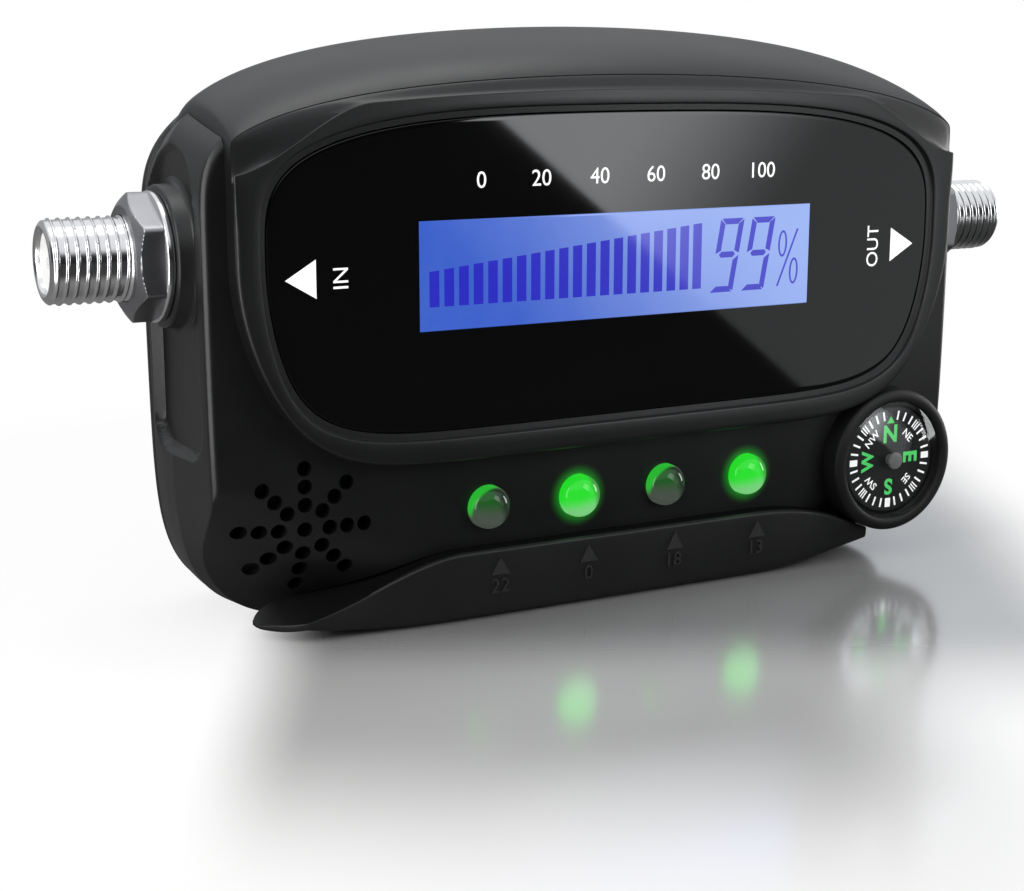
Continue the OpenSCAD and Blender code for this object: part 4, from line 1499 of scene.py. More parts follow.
@dataclass
class ChinBar:
    """Leaf-shaped bar under the lamps, with raised marks below each lamp."""

    form: Housing
    height: float = 8.5
    out: float = 2.4
    back_d: float = 7.15
    left: float = -45.2
    right: float = 38.5
    fall: float = 6.6
    ledge_fall: float = 5.0
    ledge_from: float = 0.7
    taper_lead: float = 1.5
    tip_fall: float = 4.5
    tip_power: float = 2.2
    foot_rise: tuple[float, float] = (2.4, 2.8)
    sweep_power: float = 2.6
    least_h: float = 0.9
    front_in: tuple[float, float, float] = (1.5, 3.2, 1.6)
    end_l: float = 5.0
    end_depth: float = 0.4
    round_l: float = 2.6
    places: int = 220
    marks: tuple[tuple[float, str], ...] = ((-17.0, "22"), (-5.0, "0"), (7.3, "18"), (19.6, "13"))
    mark_h: float = 1.75
    mark_z: float = -39.3
    mark_t: float = 0.15
    mark_up: float = 0.16
    mark_sink: float = 0.25
    arrow_w: float = 2.4
    arrow_z: tuple[float, float] = (-37.95, -35.85)

    def taper(self, x: np.ndarray) -> np.ndarray:
        """Share of the taper to the left end."""
        return ramp(-x, -self.left / 2.0 - self.taper_lead, -self.left)

    def tip(self, x: np.ndarray) -> np.ndarray:
        """Share of the taper to the right tip."""
        return np.maximum(0.0, (x - self.right / 2.0) / (self.right / 2.0))

    def top(self, x: np.ndarray, fall: float) -> np.ndarray:
        """Height of the bar's top, with a given fall to its left end."""
        level = self.height - self.form.axis_h
        return level - fall * self.taper(x) - self.tip_fall * self.tip(x) ** self.tip_power

    def ledge(self, x: np.ndarray) -> np.ndarray:
        """Back edge of the bar's top."""
        return self.top(x, self.ledge_fall)

    def sections(self, x: np.ndarray) -> np.ndarray:
        """Rounded sections of the bar.

        Args:
            x: places along the bar.

        Returns:
            Array of sections, points and coordinates.
        """
        form = self.form
        taper, tip = self.taper(x), self.tip(x)
        edge = self.top(x, self.fall)
        sweep = np.maximum(0.0, (-x + self.left / 2.0) / (-self.left / 2.0)) ** self.sweep_power
        tip_rise, end_rise = self.foot_rise
        foot = np.minimum(edge - self.least_h, tip_rise * tip**2 + end_rise * sweep - form.axis_h)
        end = ramp(-x, -self.left - self.end_l, -self.left)
        taper_in, end_in, tip_in = self.front_in
        front = form.band_d - self.out + taper_in * taper + end_in * end + tip_in * tip**2
        h = edge - foot
        b = np.minimum(1.0, h / 4.0)
        knots = np.array(
            [
                (front + 1.9 * b, foot),
                (front + 1.0 * b, foot + 0.05 * h),
                (front + 0.4 * b, foot + 0.17 * h),
                (front + 0.05 * b, edge - 0.5 * h),
                (front, edge - 0.7 * b),
                (front + 0.15 * b, edge - 0.15 * b),
                (front + 0.6 * b, edge),
            ]
        )
        curve = self.rounded(knots)
        back = np.full_like(x, self.back_d)
        line = [np.array([back, foot])] + list(curve) + [np.array([back, self.ledge(x)])]
        sections = np.array([np.c_[x, y, z] for y, z in line]).transpose(1, 0, 2)
        share = np.clip((x - self.left) / self.round_l, 0.02, 1.0)
        keep = np.sqrt(1.0 - (1.0 - share) ** 2)[:, None]
        mid = (edge + foot)[:, None] / 2.0
        deep = self.end_depth + (1.0 - self.end_depth) * keep
        sections[:, :, 1] = self.back_d - (self.back_d - sections[:, :, 1]) * deep
        sections[:, :, 2] = mid + (sections[:, :, 2] - mid) * keep
        return sections

    @staticmethod
    def rounded(knots: np.ndarray, parts: int = 6) -> np.ndarray:
        """Smooth curve through knots.

        Args:
            knots: array of knots, coordinates and places.
            parts: points between two knots.

        Returns:
            The finer array.
        """
        ends = np.concatenate([knots[:1] * 2 - knots[1:2], knots, knots[-1:] * 2 - knots[-2:-1]])
        fine = []
        for a, b, c, d in zip(ends, ends[1:], ends[2:], ends[3:]):
            for k in range(parts):
                t = k / parts
                bend = (2 * a - 5 * b + 4 * c - d) * t * t + (3 * b - a - 3 * c + d) * t**3
                fine.append(0.5 * (2 * b + (c - a) * t + bend))
        fine.append(knots[-1])
        return np.array(fine)

    def seat(self) -> Shape:
        """Seat of the bar in the front shell.

        Returns:
            The cutter, open to the front and below.
        """
        x = np.linspace(self.left, self.right, 120)
        gap = self.form.fit_gap
        z = self.ledge(x) + gap
        top = np.c_[np.r_[self.left - gap, x, self.right + gap], np.r_[z[0], z, z[-1]]]
        low = [(self.right + gap, -80.0), (self.left - gap, -80.0)]
        return Shape.prism(np.concatenate([top, low]), -20.0, self.back_d + gap)

    def on_front(self, points: np.ndarray) -> np.ndarray:
        """Thin marks laid on the bar's rounded front.

        Args:
            points: points of flat marks, with depth 0 at their back.

        Returns:
            The points on the bar.
        """
        laid = points.copy()
        for k, (x, y, z) in enumerate(points):
            section = self.sections(np.array([x]))[0][1:-1]
            depth = float(np.interp(z, section[:, 2], section[:, 1]))
            laid[k, 1] = depth + (self.mark_sink if y >= 0.0 else -self.mark_up)
        return laid

    def build(self, compass_cut: Shape) -> Shape:
        """Builds and dresses the bar and its marks.

        Args:
            compass_cut: round cut for the compass ring.

        Returns:
            The bar's seat.
        """
        x = self.left + (self.right - self.left) * np.linspace(0.0, 1.0, self.places)
        x = np.unique(np.r_[x, self.left + self.round_l * np.linspace(0.0, 1.0, 24) ** 2])
        bar = Shape.skin(self.sections(x)).build("chin_bar_skin")
        carve(bar, compass_cut)
        soften(bar, 38.0)
        fit_out(bar, Finishes.CHIN, nodes=["chin_bar"])
        self.shade_ledge(bar)
        marks = []
        for at, text in self.marks:
            word = Lettering.word(text, self.mark_h, self.mark_t)
            marks.append(word.moved(lambda p, at=at: p + np.array([at, 0.0, self.mark_z])))
            marks.append(self.arrow(at))
        raised = Shape.joined(marks).moved(self.on_front).build("chin_marks")
        fit_out(raised, Finishes.MARK)
        return self.seat()

    def shade_ledge(self, bar: bpy.types.Object) -> None:
        """Gives the bar's ledge, which lies in the joint with the shell, its darker matt finish as painted
        shade.

        Args:
            bar: the bar.
        """
        # painted shade: upward faces of the ledge take the darker matt finish
        bar.data.materials.append(Finishes.LEDGE.material())
        for face in bar.data.polygons:
            deep = face.center.y / MM - FACE_ORIGIN[1] > self.ledge_from
            if deep and face.normal.z > 0.5:
                face.material_index = 1

    def arrow(self, at: float) -> Shape:
        """A pointer of the bar, in rows that can follow its rounded front.

        Args:
            at: place of its tip along the bar.

        Returns:
            The flat form, its back at depth 0.
        """
        low, high = self.arrow_z
        rows = []
        for share in np.linspace(0.0, 1.0, 8):
            half = self.arrow_w / 2.0 * (1.0 - share) + 0.02
            z = low + (high - low) * share
            corners = ((-half, -self.mark_t), (half, -self.mark_t), (half, 0.0), (-half, 0.0))
            rows.append([(at + off, y, z) for off, y in corners])
        return Shape.skin(np.array(rows))


# Display


@dataclass
class Display:
    """Window plate, lit display and printed marks."""

    form: Housing
    low: tuple[float, float] = (-26.97, -8.52)
    high: tuple[float, float] = (26.47, 3.86)
    plate_gap: float = 0.05
    plate_soft: float = 0.22
    plate_flat: float = 0.2
    lit_gap: float = 0.02
    lit_soft: float = 0.12
    sink: float = 0.04
    film: float = 0.03
    bed: float = 0.01
    bars: int = 20
    bar_first: float = -25.75
    bar_pitch: float = 1.842
    bar_w: float = 1.22
    bar_foot: float = -5.8
    bar_tops: tuple[float, float] = (-1.8, 2.0)
    figures: tuple[float, ...] = (11.65, 16.25)
    arrow_x: tuple[float, float] = (42.84, 39.26)
    arrow_z: tuple[float, float, float] = (-1.85, 0.285, -3.985)
    words: tuple[tuple[str, float], ...] = (("IN", -36.4), ("OUT", 36.4))
    word_h: float = 1.75
    word_z: float = -1.9
    scale: tuple[int, ...] = (0, 20, 40, 60, 80, 100)
    scale_h: float = 1.85
    scale_x: float = -19.2
    scale_pitch: float = 7.68
    scale_z: float = 8.2

    def window(self) -> None:
        """Builds and dresses the window plate."""
        form, soft = self.form, self.plate_soft
        phi = full_turn(720)
        rings = [form.ring(form.window(self.plate_gap), phi, form.window_t)]
        for turn in quarter_turn(6):
            inset = self.plate_gap + soft * (1.0 - math.cos(turn))
            rings.append(form.ring(form.window(inset), phi, soft * (1.0 - math.sin(turn))))
        rings.append(form.ring(form.window(2.0 * soft + self.plate_flat), phi, 0.0))
        plate = Shape.skin(np.array(rings)).build("window_plate")
        (x0, z0), (x1, z1) = self.low, self.high
        carve(plate, Shape.block((x0, -1.0, z0), (x1, 3.0, z1)))
        soften(plate, 40.0)
        fit_out(plate, Finishes.WINDOW, nodes=["display_window"])

    def segments(self) -> list[Shape]:
        """Bars, figures and sign of the display.

        Returns:
            Thin forms, their backs at depth 0.
        """
        flats: list[np.ndarray] = []
        slope = (self.bar_tops[1] - self.bar_tops[0]) / (self.bars - 1)
        for k in range(self.bars):
            left = self.bar_first + self.bar_pitch * k
            right, foot, top = left + self.bar_w, self.bar_foot, self.bar_tops[0] + slope * k
            flats.append(np.array([(left, foot), (right, foot), (right, top + slope * 0.5), (left, top)]))
        for left in self.figures:
            flats += self.nine(left)
        flats += self.percent()
        return [Shape.prism(flat, -self.film, 0.0) for flat in flats]

    @staticmethod
    def nine(left: float) -> list[np.ndarray]:
        """Six lit segments of a slanted nine.

        Args:
            left: left end of its foot.

        Returns:
            Outlines of x and z.
        """
        foot, top, width, lean, thick, gap = -6.42, 2.5, 3.4, 1.6, 0.72, 0.14
        middle = (foot + top) / 2.0 + 0.1

        def slanted(points: Sequence[tuple[float, float]]) -> np.ndarray:
            """Outline leaned over and set in its place."""
            return np.array([(left + x + lean * (z - foot) / (top - foot), z) for x, z in points])

        def level(z: float, up: float) -> np.ndarray:
            """A level bar with slanted ends; up is 1 for the top bar, -1 for the foot."""
            outer, inner = z, z - up * thick
            return slanted(
                [(gap, outer), (width - gap, outer), (width - thick - gap, inner), (thick + gap, inner)]
            )

        def upright(x: float, side: float, low: float, high: float) -> np.ndarray:
            """A standing bar with slanted ends; side is 1 where its inside lies to the right."""
            inside, cut = x + side * thick, thick * 0.75
            return slanted(
                [(x, low + gap), (x, high - gap), (inside, high - gap - cut), (inside, low + gap + cut * 0.6)]
            )

        half = thick / 2.0
        bar = slanted(
            [
                (thick * 0.55 + gap, middle),
                (thick + gap, middle + half),
                (width - thick - gap, middle + half),
                (width - thick * 0.55 - gap, middle),
                (width - thick - gap, middle - half),
                (thick + gap, middle - half),
            ]
        )
        return [
            level(top, 1.0),
            level(foot, -1.0),
            bar,
            upright(0.0, 1.0, middle, top),
            upright(width, -1.0, middle, top),
            upright(width, -1.0, foot, middle),
        ]

    @staticmethod
    def percent() -> list[np.ndarray]:
        """Stroke and two rings of the sign, the rings as short segments.

        Returns:
            Outlines of x and z.
        """
        outer, inner, lean, count = (0.66, 1.64), (0.42, 1.36), 0.05, 28

        def on_oval(centre: Sequence[float], radii: Sequence[float], turn: float) -> tuple[float, float]:
            """Point of a leaning oval."""
            across = radii[0] * math.cos(turn) + lean * math.sin(turn)
            return (centre[0] + across, centre[1] + radii[1] * math.sin(turn))

        parts = [np.array([(21.6, -6.17), (21.86, -6.17), (24.77, 0.84), (24.51, 0.84)])]
        for centre in ((22.42, -0.92), (24.17, -4.36)):
            for k in range(count):
                first, last = (2.0 * math.pi * (k + e) / count for e in (0.0, 1.0))
                corners = ((outer, first), (outer, last), (inner, last), (inner, first))
                parts.append(np.array([on_oval(centre, radii, turn) for radii, turn in corners]))
        return parts

    def lit(self) -> None:
        """Builds and dresses the lit film and its segments."""
        (x0, z0), (x1, z1) = self.low, self.high
        soft, front = self.lit_soft, self.sink
        steps = [(0.0, self.form.window_t)]
        for turn in quarter_turn(5):
            steps.append((soft * (1.0 - math.cos(turn)), front + soft * (1.0 - math.sin(turn))))
        steps.append((2.0 * soft, front))
        rings = []
        for inset, depth in steps:
            gap = self.lit_gap + inset
            left, right, foot, top = x0 + gap, x1 - gap, z0 + gap, z1 - gap
            rings.append([(left, depth, foot), (right, depth, foot), (right, depth, top), (left, depth, top)])
        film = Shape.skin(np.array(rings)).build("display_film")
        soften(film, 40.0)
        fit_out(film, Finishes.DISPLAY)
        marks = Shape.joined(self.segments()).moved(lambda p: p + np.array([0.0, front, 0.0]))
        fit_out(marks.build("display_segments"), Finishes.SEGMENT)

    def print_marks(self) -> None:
        """Builds and dresses the white marks printed on the window."""
        marks = []
        bed = self.bed
        for side in (-1.0, 1.0):
            tip, base = (x * side for x in self.arrow_x)
            arrow = np.c_[(tip, base, base), self.arrow_z]
            marks.append(Shape.prism(arrow, -self.film, bed))
        for text, x in self.words:
            word = Lettering.word(text, self.word_h, self.film)
            marks.append(word.moved(lambda p, x=x: np.c_[x - p[:, 2], p[:, 1] + bed, p[:, 0] + self.word_z]))
        for k, number in enumerate(self.scale):
            word = Lettering.word(str(number), self.scale_h, self.film)
            place = np.array([self.scale_x + self.scale_pitch * k, bed, self.scale_z])
            marks.append(word.moved(lambda p, place=place: p + place))
        fit_out(Shape.joined(marks).build("window_marks"), Finishes.WHITE)

    def build(self) -> None:
        """Builds the window, the display and the marks."""
        self.window()
        self.lit()
        self.print_marks()


@dataclass
class Lamps:
    """Four round lamps in the band, two of them lit."""

    places: tuple[float, ...] = LAMP_X
    states: tuple[Lamp, ...] = (Lamp.DARK, Lamp.LIT, Lamp.DARK, Lamp.LIT)
    z: float = LAMP_Z
    radius: float = LAMP_R
    rise: float = 1.7
    front: float = 1.7
    length: float = 4.9
    collar: float = 0.4
    collar_t: float = 0.8

    def build(self) -> None:
        """Builds and dresses each lamp."""
        radius, wide = self.radius, self.radius + self.collar
        back = self.front + self.length
        profile = [(0.0, back), (wide, back), (wide, back - self.collar_t), (radius, back - self.collar_t)]
        for turn in quarter_turn(24):
            profile.append((radius * math.cos(turn), self.front - self.rise * math.sin(turn)))
        for k, (x, state) in enumerate(zip(self.places, self.states), start=1):
            lamp = Shape.turned(profile, (x, 0.0, self.z), Axis.DEPTH, 96).build(f"lamp_dome_{k}")
            soften(lamp, 40.0)
            resin = LampResin(f"lamp_resin_{k}", state, (x, self.front, self.z), radius)
            fit_out(lamp, resin, nodes=[f"lamp_{k}"])


@dataclass
class Compass:
    """Compass: ring, domed lens, and a swinging card with a printed rose."""

    x: float = COMPASS_X
    z: float = COMPASS_Z
    fit_gap: float = 0.05
    ring_r: float = 9.4
    ring_wall: float = 0.8
    ring_low: float = -0.45
    ring_up: float = 0.55
    ring_full: float = 0.8
    ring_lean: float = 0.35
    ring_side: float = 0.4
    lens_r: float = 7.8
    lens_out: float = 2.6
    lens_rim: float = 0.6
    lens_t: float = 0.8
    seat_d: float = 0.2
    cup_back: float = 4.4
    card_r: float = 7.1
    card_d: float = 0.3
    card_t: float = 0.5
    card_soft: float = 0.12
    jewel_r: float = 1.1
    jewel_stem: float = 0.68
    jewel_d: float = -1.1
    jewel_t: float = 0.45
    jewel_soft: float = 0.15
    jewel_web: float = 0.35
    bore_r: float = 0.56
    film: float = 0.03
    bed: float = 0.01
    tick_out: float = 6.5
    tick_in: float = 5.3
    tick_main: float = 0.42
    tick_fine: float = 0.085
    tick_plain: float = 0.13
    tick_spread: float = 3.6
    points: tuple[tuple[str, float, float, float], ...] = (
        ("N", 0.0, 3.4, 2.35),
        ("E", 90.0, 3.45, 2.3),
        ("S", 180.0, 3.75, 2.2),
        ("W", 270.0, 3.6, 1.95),
    )
    point_bold: float = 0.035
    between: tuple[tuple[str, float], ...] = (("NE", 45.0), ("SE", 135.0), ("SW", 225.0), ("NW", 315.0))
    between_r: float = 4.15
    between_h: float = 1.02
    between_bold: float = 0.012
    arrow: tuple[tuple[float, float], ...] = ((-0.6, 4.8), (0.6, 4.8), (0.0, 5.75))

    @property
    def centre(self) -> tuple[float, float, float]:
        """Centre of the compass in the face frame."""
        return (self.x, 0.0, self.z)

    def cut(self) -> Shape:
        """Round cut for the ring."""
        return Shape.post(self.x, self.z, self.ring_r + self.fit_gap, -20.0, 30.0, 160)

    def ring(self) -> None:
        """Builds and dresses the ring."""
        width, inner = self.ring_r - self.lens_r, self.ring_r - self.ring_wall
        profile = [(self.lens_r, self.seat_d), (self.lens_r, self.ring_low)]
        for share in np.linspace(0.0, 1.0, 13):
            turn = math.pi * share
            radius = self.lens_r + width * (0.5 - 0.5 * math.cos(turn))
            swell = self.ring_up * math.sin(turn) ** self.ring_full
            profile.append((radius, self.ring_low - swell + self.ring_lean * share**2))
        profile += [(self.ring_r, self.ring_side), (self.ring_r, self.cup_back)]
        profile += [(inner, self.cup_back), (inner, self.seat_d)]
        ring = Shape.turned(profile, self.centre, Axis.DEPTH, 200).build("compass_rim")
        soften(ring, 40.0)
        fit_out(ring, Finishes.RING, nodes=["compass_ring"])

    def lens(self) -> None:
        """Builds and dresses the domed lens."""
        r = self.lens_r - self.fit_gap
        rise = self.lens_out - self.lens_rim
        outer = (r * r + rise * rise) / (2.0 * rise)
        inner = outer - self.lens_t
        mid = outer - self.lens_out
        foot = self.seat_d - self.fit_gap
        arcs = 32
        turn_out, turn_in = math.asin(r / outer), math.asin((r - self.lens_t) / inner)
        out_turns = np.linspace(0.0, turn_out, arcs + 1)
        in_turns = np.linspace(turn_in, 0.0, arcs + 1)
        profile = [(outer * math.sin(t), mid - outer * math.cos(t)) for t in out_turns]
        profile += [(r, foot), (r - self.lens_t, foot)]
        profile += [(inner * math.sin(t), mid - inner * math.cos(t)) for t in in_turns]
        lens = Shape.turned(profile, self.centre, Axis.DEPTH, 160).build("compass_dome")
        soften(lens, 40.0)
        fit_out(lens, Finishes.DOME, nodes=["compass_lens"])

    def card(self) -> None:
        """Builds and dresses the card and its jewel cap."""
        soft = self.card_soft
        back = self.card_d + self.card_t
        profile = [
            (self.bore_r, back),
            (self.card_r - soft, back),
            (self.card_r, back - soft),
            (self.card_r, self.card_d + soft),
            (self.card_r - soft, self.card_d),
            (self.bore_r, self.card_d),
        ]
        card = Shape.turned(profile, self.centre, Axis.DEPTH, 160).build("rose_card")
        soften(card)
        fit_out(card, Finishes.CARD, CARD, ["compass_card"])
        front, edge, soft = self.jewel_d, self.jewel_r, self.jewel_soft
        under, web = front + self.jewel_t, front + self.jewel_web
        profile = [(self.bore_r, self.card_d), (self.jewel_stem, self.card_d), (self.jewel_stem, under)]
        profile += [(edge - soft, under), (edge, under - soft)]
        for turn in quarter_turn(6):
            profile.append((edge - soft * (1.0 - math.cos(turn)), front + soft * (1.0 - math.sin(turn))))
        profile += [(0.0, front), (0.0, web), (self.bore_r, web)]
        cap = Shape.turned(profile, self.centre, Axis.DEPTH, 96).build("jewel_cap")
        soften(cap)
        fit_out(cap, Finishes.JEWEL, CARD)

    def tick(self, degrees: float, half_w: float) -> Shape:
        """A tick of the rose.

        Args:
            degrees: its bearing.
            half_w: half of its width.

        Returns:
            The form on the card.
        """
        turn = math.radians(degrees)
        along = np.array([math.sin(turn), math.cos(turn)])
        side = np.array([along[1], -along[0]])
        corners = [(self.tick_in, -1), (self.tick_out, -1), (self.tick_out, 1), (self.tick_in, 1)]
        flat = np.array([along * r + side * half_w * s for r, s in corners])
        return self.on_card(Shape.prism(flat, -self.film, self.bed))

    def on_card(self, shape: Shape) -> Shape:
        """A flat mark set on the card."""
        return shape.moved(lambda p: p + np.array([self.x, self.card_d, self.z]))

    def letter(self, text: str, degrees: float, radius: float, height: float, bold: float) -> Shape:
        """A letter of the rose, its foot towards the middle.

        Args:
            text: the letter or letters.
            degrees: its bearing.
            radius: distance of its middle from the card's.
            height: its height.
            bold: growth of its strokes.

        Returns:
            The form on the card.
        """
        turn = math.radians(degrees)
        word = Lettering.word(text, height, self.film, bold)

        def swung(p: np.ndarray) -> np.ndarray:
            """Points turned to the bearing."""
            side, up, cos, sin = p[:, 0], p[:, 2] + radius, math.cos(turn), math.sin(turn)
            return np.c_[side * cos + up * sin, p[:, 1] + self.bed, -side * sin + up * cos]

        return self.on_card(word.moved(swung))

    def rose(self) -> None:
        """Builds and dresses the printed rose."""
        white, green = [], []
        triple = (-self.tick_spread, 0.0, self.tick_spread)
        for k in range(1, 32):
            bearing = 11.25 * k
            if k % 8 == 0:
                white.append(self.tick(bearing, self.tick_main))
            elif k % 4 == 0:
                white += [self.tick(bearing + off, self.tick_fine) for off in triple]
            else:
                white.append(self.tick(bearing, self.tick_plain))
        for text, bearing, radius, height in self.points:
            green.append(self.letter(text, bearing, radius, height, self.point_bold))
        for text, bearing in self.between:
            white.append(self.letter(text, bearing, self.between_r, self.between_h, self.between_bold))
        green.append(self.on_card(Shape.prism(np.array(self.arrow), -self.film, self.bed)))
        fit_out(Shape.joined(white).build("rose_white"), Finishes.WHITE, CARD)
        fit_out(Shape.joined(green).build("rose_green"), Finishes.GREEN, CARD)

    def build(self) -> None:
        """Builds the compass."""
        self.ring()
        self.lens()
        self.card()
        self.rose()


@dataclass
class Connectors:
    """Threaded connectors with hexagon nuts and washers at both ends."""

    y: float = CONNECTOR_Y
    fit_gap: float = 0.05
    thread_r: float = 4.7625
    thread_run: float = 0.5
    thread_step: float = 0.045
    port_r: float = 3.4
    port_soft: float = 0.35
    start: float = 56.6
    end: float = 65.6
    shank_from: float = 46.9
    shank_relief: float = 0.2
    shank_end: float = 0.3
    nose: float = 1.0
    pitch: float = 1.1
    crest_w: float = 0.12
    ridge: float = 0.22
    nut_x: float = 53.75
    nut_t: float = 3.0
    nut_af: float = 12.7
    nut_sharp: float = 40.0
    nut_face_r: float = 5.8
    nut_slope: float = 1.65
    nut_back: tuple[float, float] = (2.6, 1.2)
    washer_x: float = 52.85
    washer_r: float = 7.3
    washer_soft: float = 0.2

    def hoop(self, x: float, radius: Union[float, np.ndarray], turn: np.ndarray) -> np.ndarray:
        """Ring of points about the connectors' axis."""
        return np.c_[np.full(len(turn), x), self.y + radius * np.cos(turn), radius * np.sin(turn)]

    def barrel(self) -> Shape:
        """Threaded barrel at the right end.

        Returns:
            The form, open through its port.
        """
        turn = full_turn(128)
        shank = self.thread_r - self.shank_relief
        rings = [self.hoop(x, shank, turn) for x in (self.shank_from, self.start - self.shank_end)]
        for x in np.arange(self.start, self.end + 1e-6, self.thread_step):
            wave = (x / self.pitch - turn / (2.0 * math.pi)) % 1.0
            tooth = np.exp(-(((wave - 0.5) / self.crest_w) ** 2))
            grown = float(ramp(x, self.start, self.start + self.thread_run))
            radius = self.thread_r - self.ridge * (1.0 - tooth) * grown
            past = min(1.0, max(0.0, x - self.end + self.nose) / self.nose)
            limit = self.thread_r - self.nose * (1.0 - math.sqrt(1.0 - past**2))
            rings.append(self.hoop(x, np.minimum(radius, limit), turn))
        rings.append(self.hoop(self.end, self.port_r + self.port_soft, turn))
        rings += [self.hoop(x, self.port_r, turn) for x in (self.end - self.port_soft, self.shank_from)]
        return Shape.skin(np.array(rings), around=True)

    def nut(self) -> Shape:
        """Hexagon nut at the right end, chamfered on its outer face.

        Returns:
            The form.
        """
        turn = full_turn(288)
        half = self.nut_af / 2.0
        sides = np.array([1.0 / np.maximum(np.cos(turn - math.pi / 3.0 * k), 1e-3) for k in range(6)])
        hexagon = half * (np.clip(sides, 0.0, 50.0) ** -self.nut_sharp).sum(0) ** (-1.0 / self.nut_sharp)
        foot, spread = self.nut_back
        rings = []
        for t in np.r_[0.0, 0.12, 0.3, np.linspace(0.5, self.nut_t, 26)]:
            cone = self.nut_face_r + self.nut_slope * (self.nut_t - t)
            inner = self.nut_face_r + foot + t * spread
            radius = np.minimum(np.minimum(hexagon, cone), np.maximum(inner, half))
            rings.append(self.hoop(self.nut_x + t, radius, turn))
        rings += [self.hoop(self.nut_x + t, self.thread_r + self.fit_gap, turn) for t in (self.nut_t, 0.0)]
        return Shape.skin(np.array(rings), around=True)

    def washer(self) -> Shape:
        """Washer at the right end.

        Returns:
            The form.
        """
        x0, x1, r, soft = self.washer_x, self.nut_x, self.washer_r, self.washer_soft
        hole = self.thread_r + self.fit_gap
        profile = [(hole, x0), (r - soft, x0), (r, x0 + soft), (r, x1 - soft)]
        profile += [(r - soft * 0.3, x1 - soft * 0.3), (r - soft, x1), (hole, x1)]
        return Shape.turned(profile, (0.0, self.y, 0.0), Axis.ACROSS, 128)

    def build(self) -> None:
        """Builds and dresses both ends."""
        for end in ("right", "left"):
            for make, kind, angle, finish in (
                (self.barrel, "connector", 50.0, Finishes.NICKEL),
                (self.nut, "nut", 28.0, Finishes.NUT),
                (self.washer, "washer", 50.0, Finishes.NICKEL),
            ):
                shape = make() if end == "right" else make().mirrored()
                piece = shape.build(f"{end}_{kind}_metal")
                soften(piece, angle)
                fit_out(piece, finish, nodes=[f"{end}_{kind}"])


class Inside:
    """Inner parts that keep the frame's own solids."""

    FINISH: dict[str, Finishes] = {
        "lcd_glass": Finishes.DISPLAY,
        "backlight_plate": Finishes.DIFFUSER,
        "lcd_frame": Finishes.FRAME,
        "lcd_pins": Finishes.TIN,
        "main_board": Finishes.BOARD,
        "tuner_shield": Finishes.TIN,
        "meter_chip": Finishes.FRAME,
        "buzzer_case": Finishes.FRAME,
        "buzzer_disc": Finishes.BRASS,
        "lamp_legs": Finishes.TIN,
        "compass_cup": Finishes.CUP,
        "compass_pivot": Finishes.BRASS,
        "compass_magnet": Finishes.MAGNET,
        "left_insulator": Finishes.INSULATOR,
        "right_insulator": Finishes.INSULATOR,
        "left_contact": Finishes.BRASS,
        "right_contact": Finishes.BRASS,
        "case_screws": Finishes.STEEL,
    }

    def build(self, nodes: dict[str, bpy.types.Object]) -> None:
        """Dresses the carried-over solids.

        Args:
            nodes: the frame's objects by name.
        """
        for name, finish in self.FINISH.items():
            dress(nodes[name], finish)
            LOG.info("%s: dressed", name)


# Studio


@dataclass(frozen=True)
class SoftLamp:
    """A soft box, in metres and watts."""

    name: str
    place: tuple[float, float, float]
    aim: tuple[float, float, float]
    size: tuple[float, float]
    power: float

    def build(self) -> None:
        """Hangs the lamp so that it faces its aim."""
        data = bpy.data.lights.new(self.name, "AREA")
        data.shape = "RECTANGLE"
        data.size, data.size_y = self.size
        data.energy = self.power
        lamp = bpy.data.objects.new(self.name, data)
        lamp.location = self.place
        facing = Vector(self.aim) - Vector(self.place)
        lamp.rotation_euler = facing.to_track_quat("-Z", "Y").to_euler()
        bpy.context.scene.collection.objects.link(lamp)


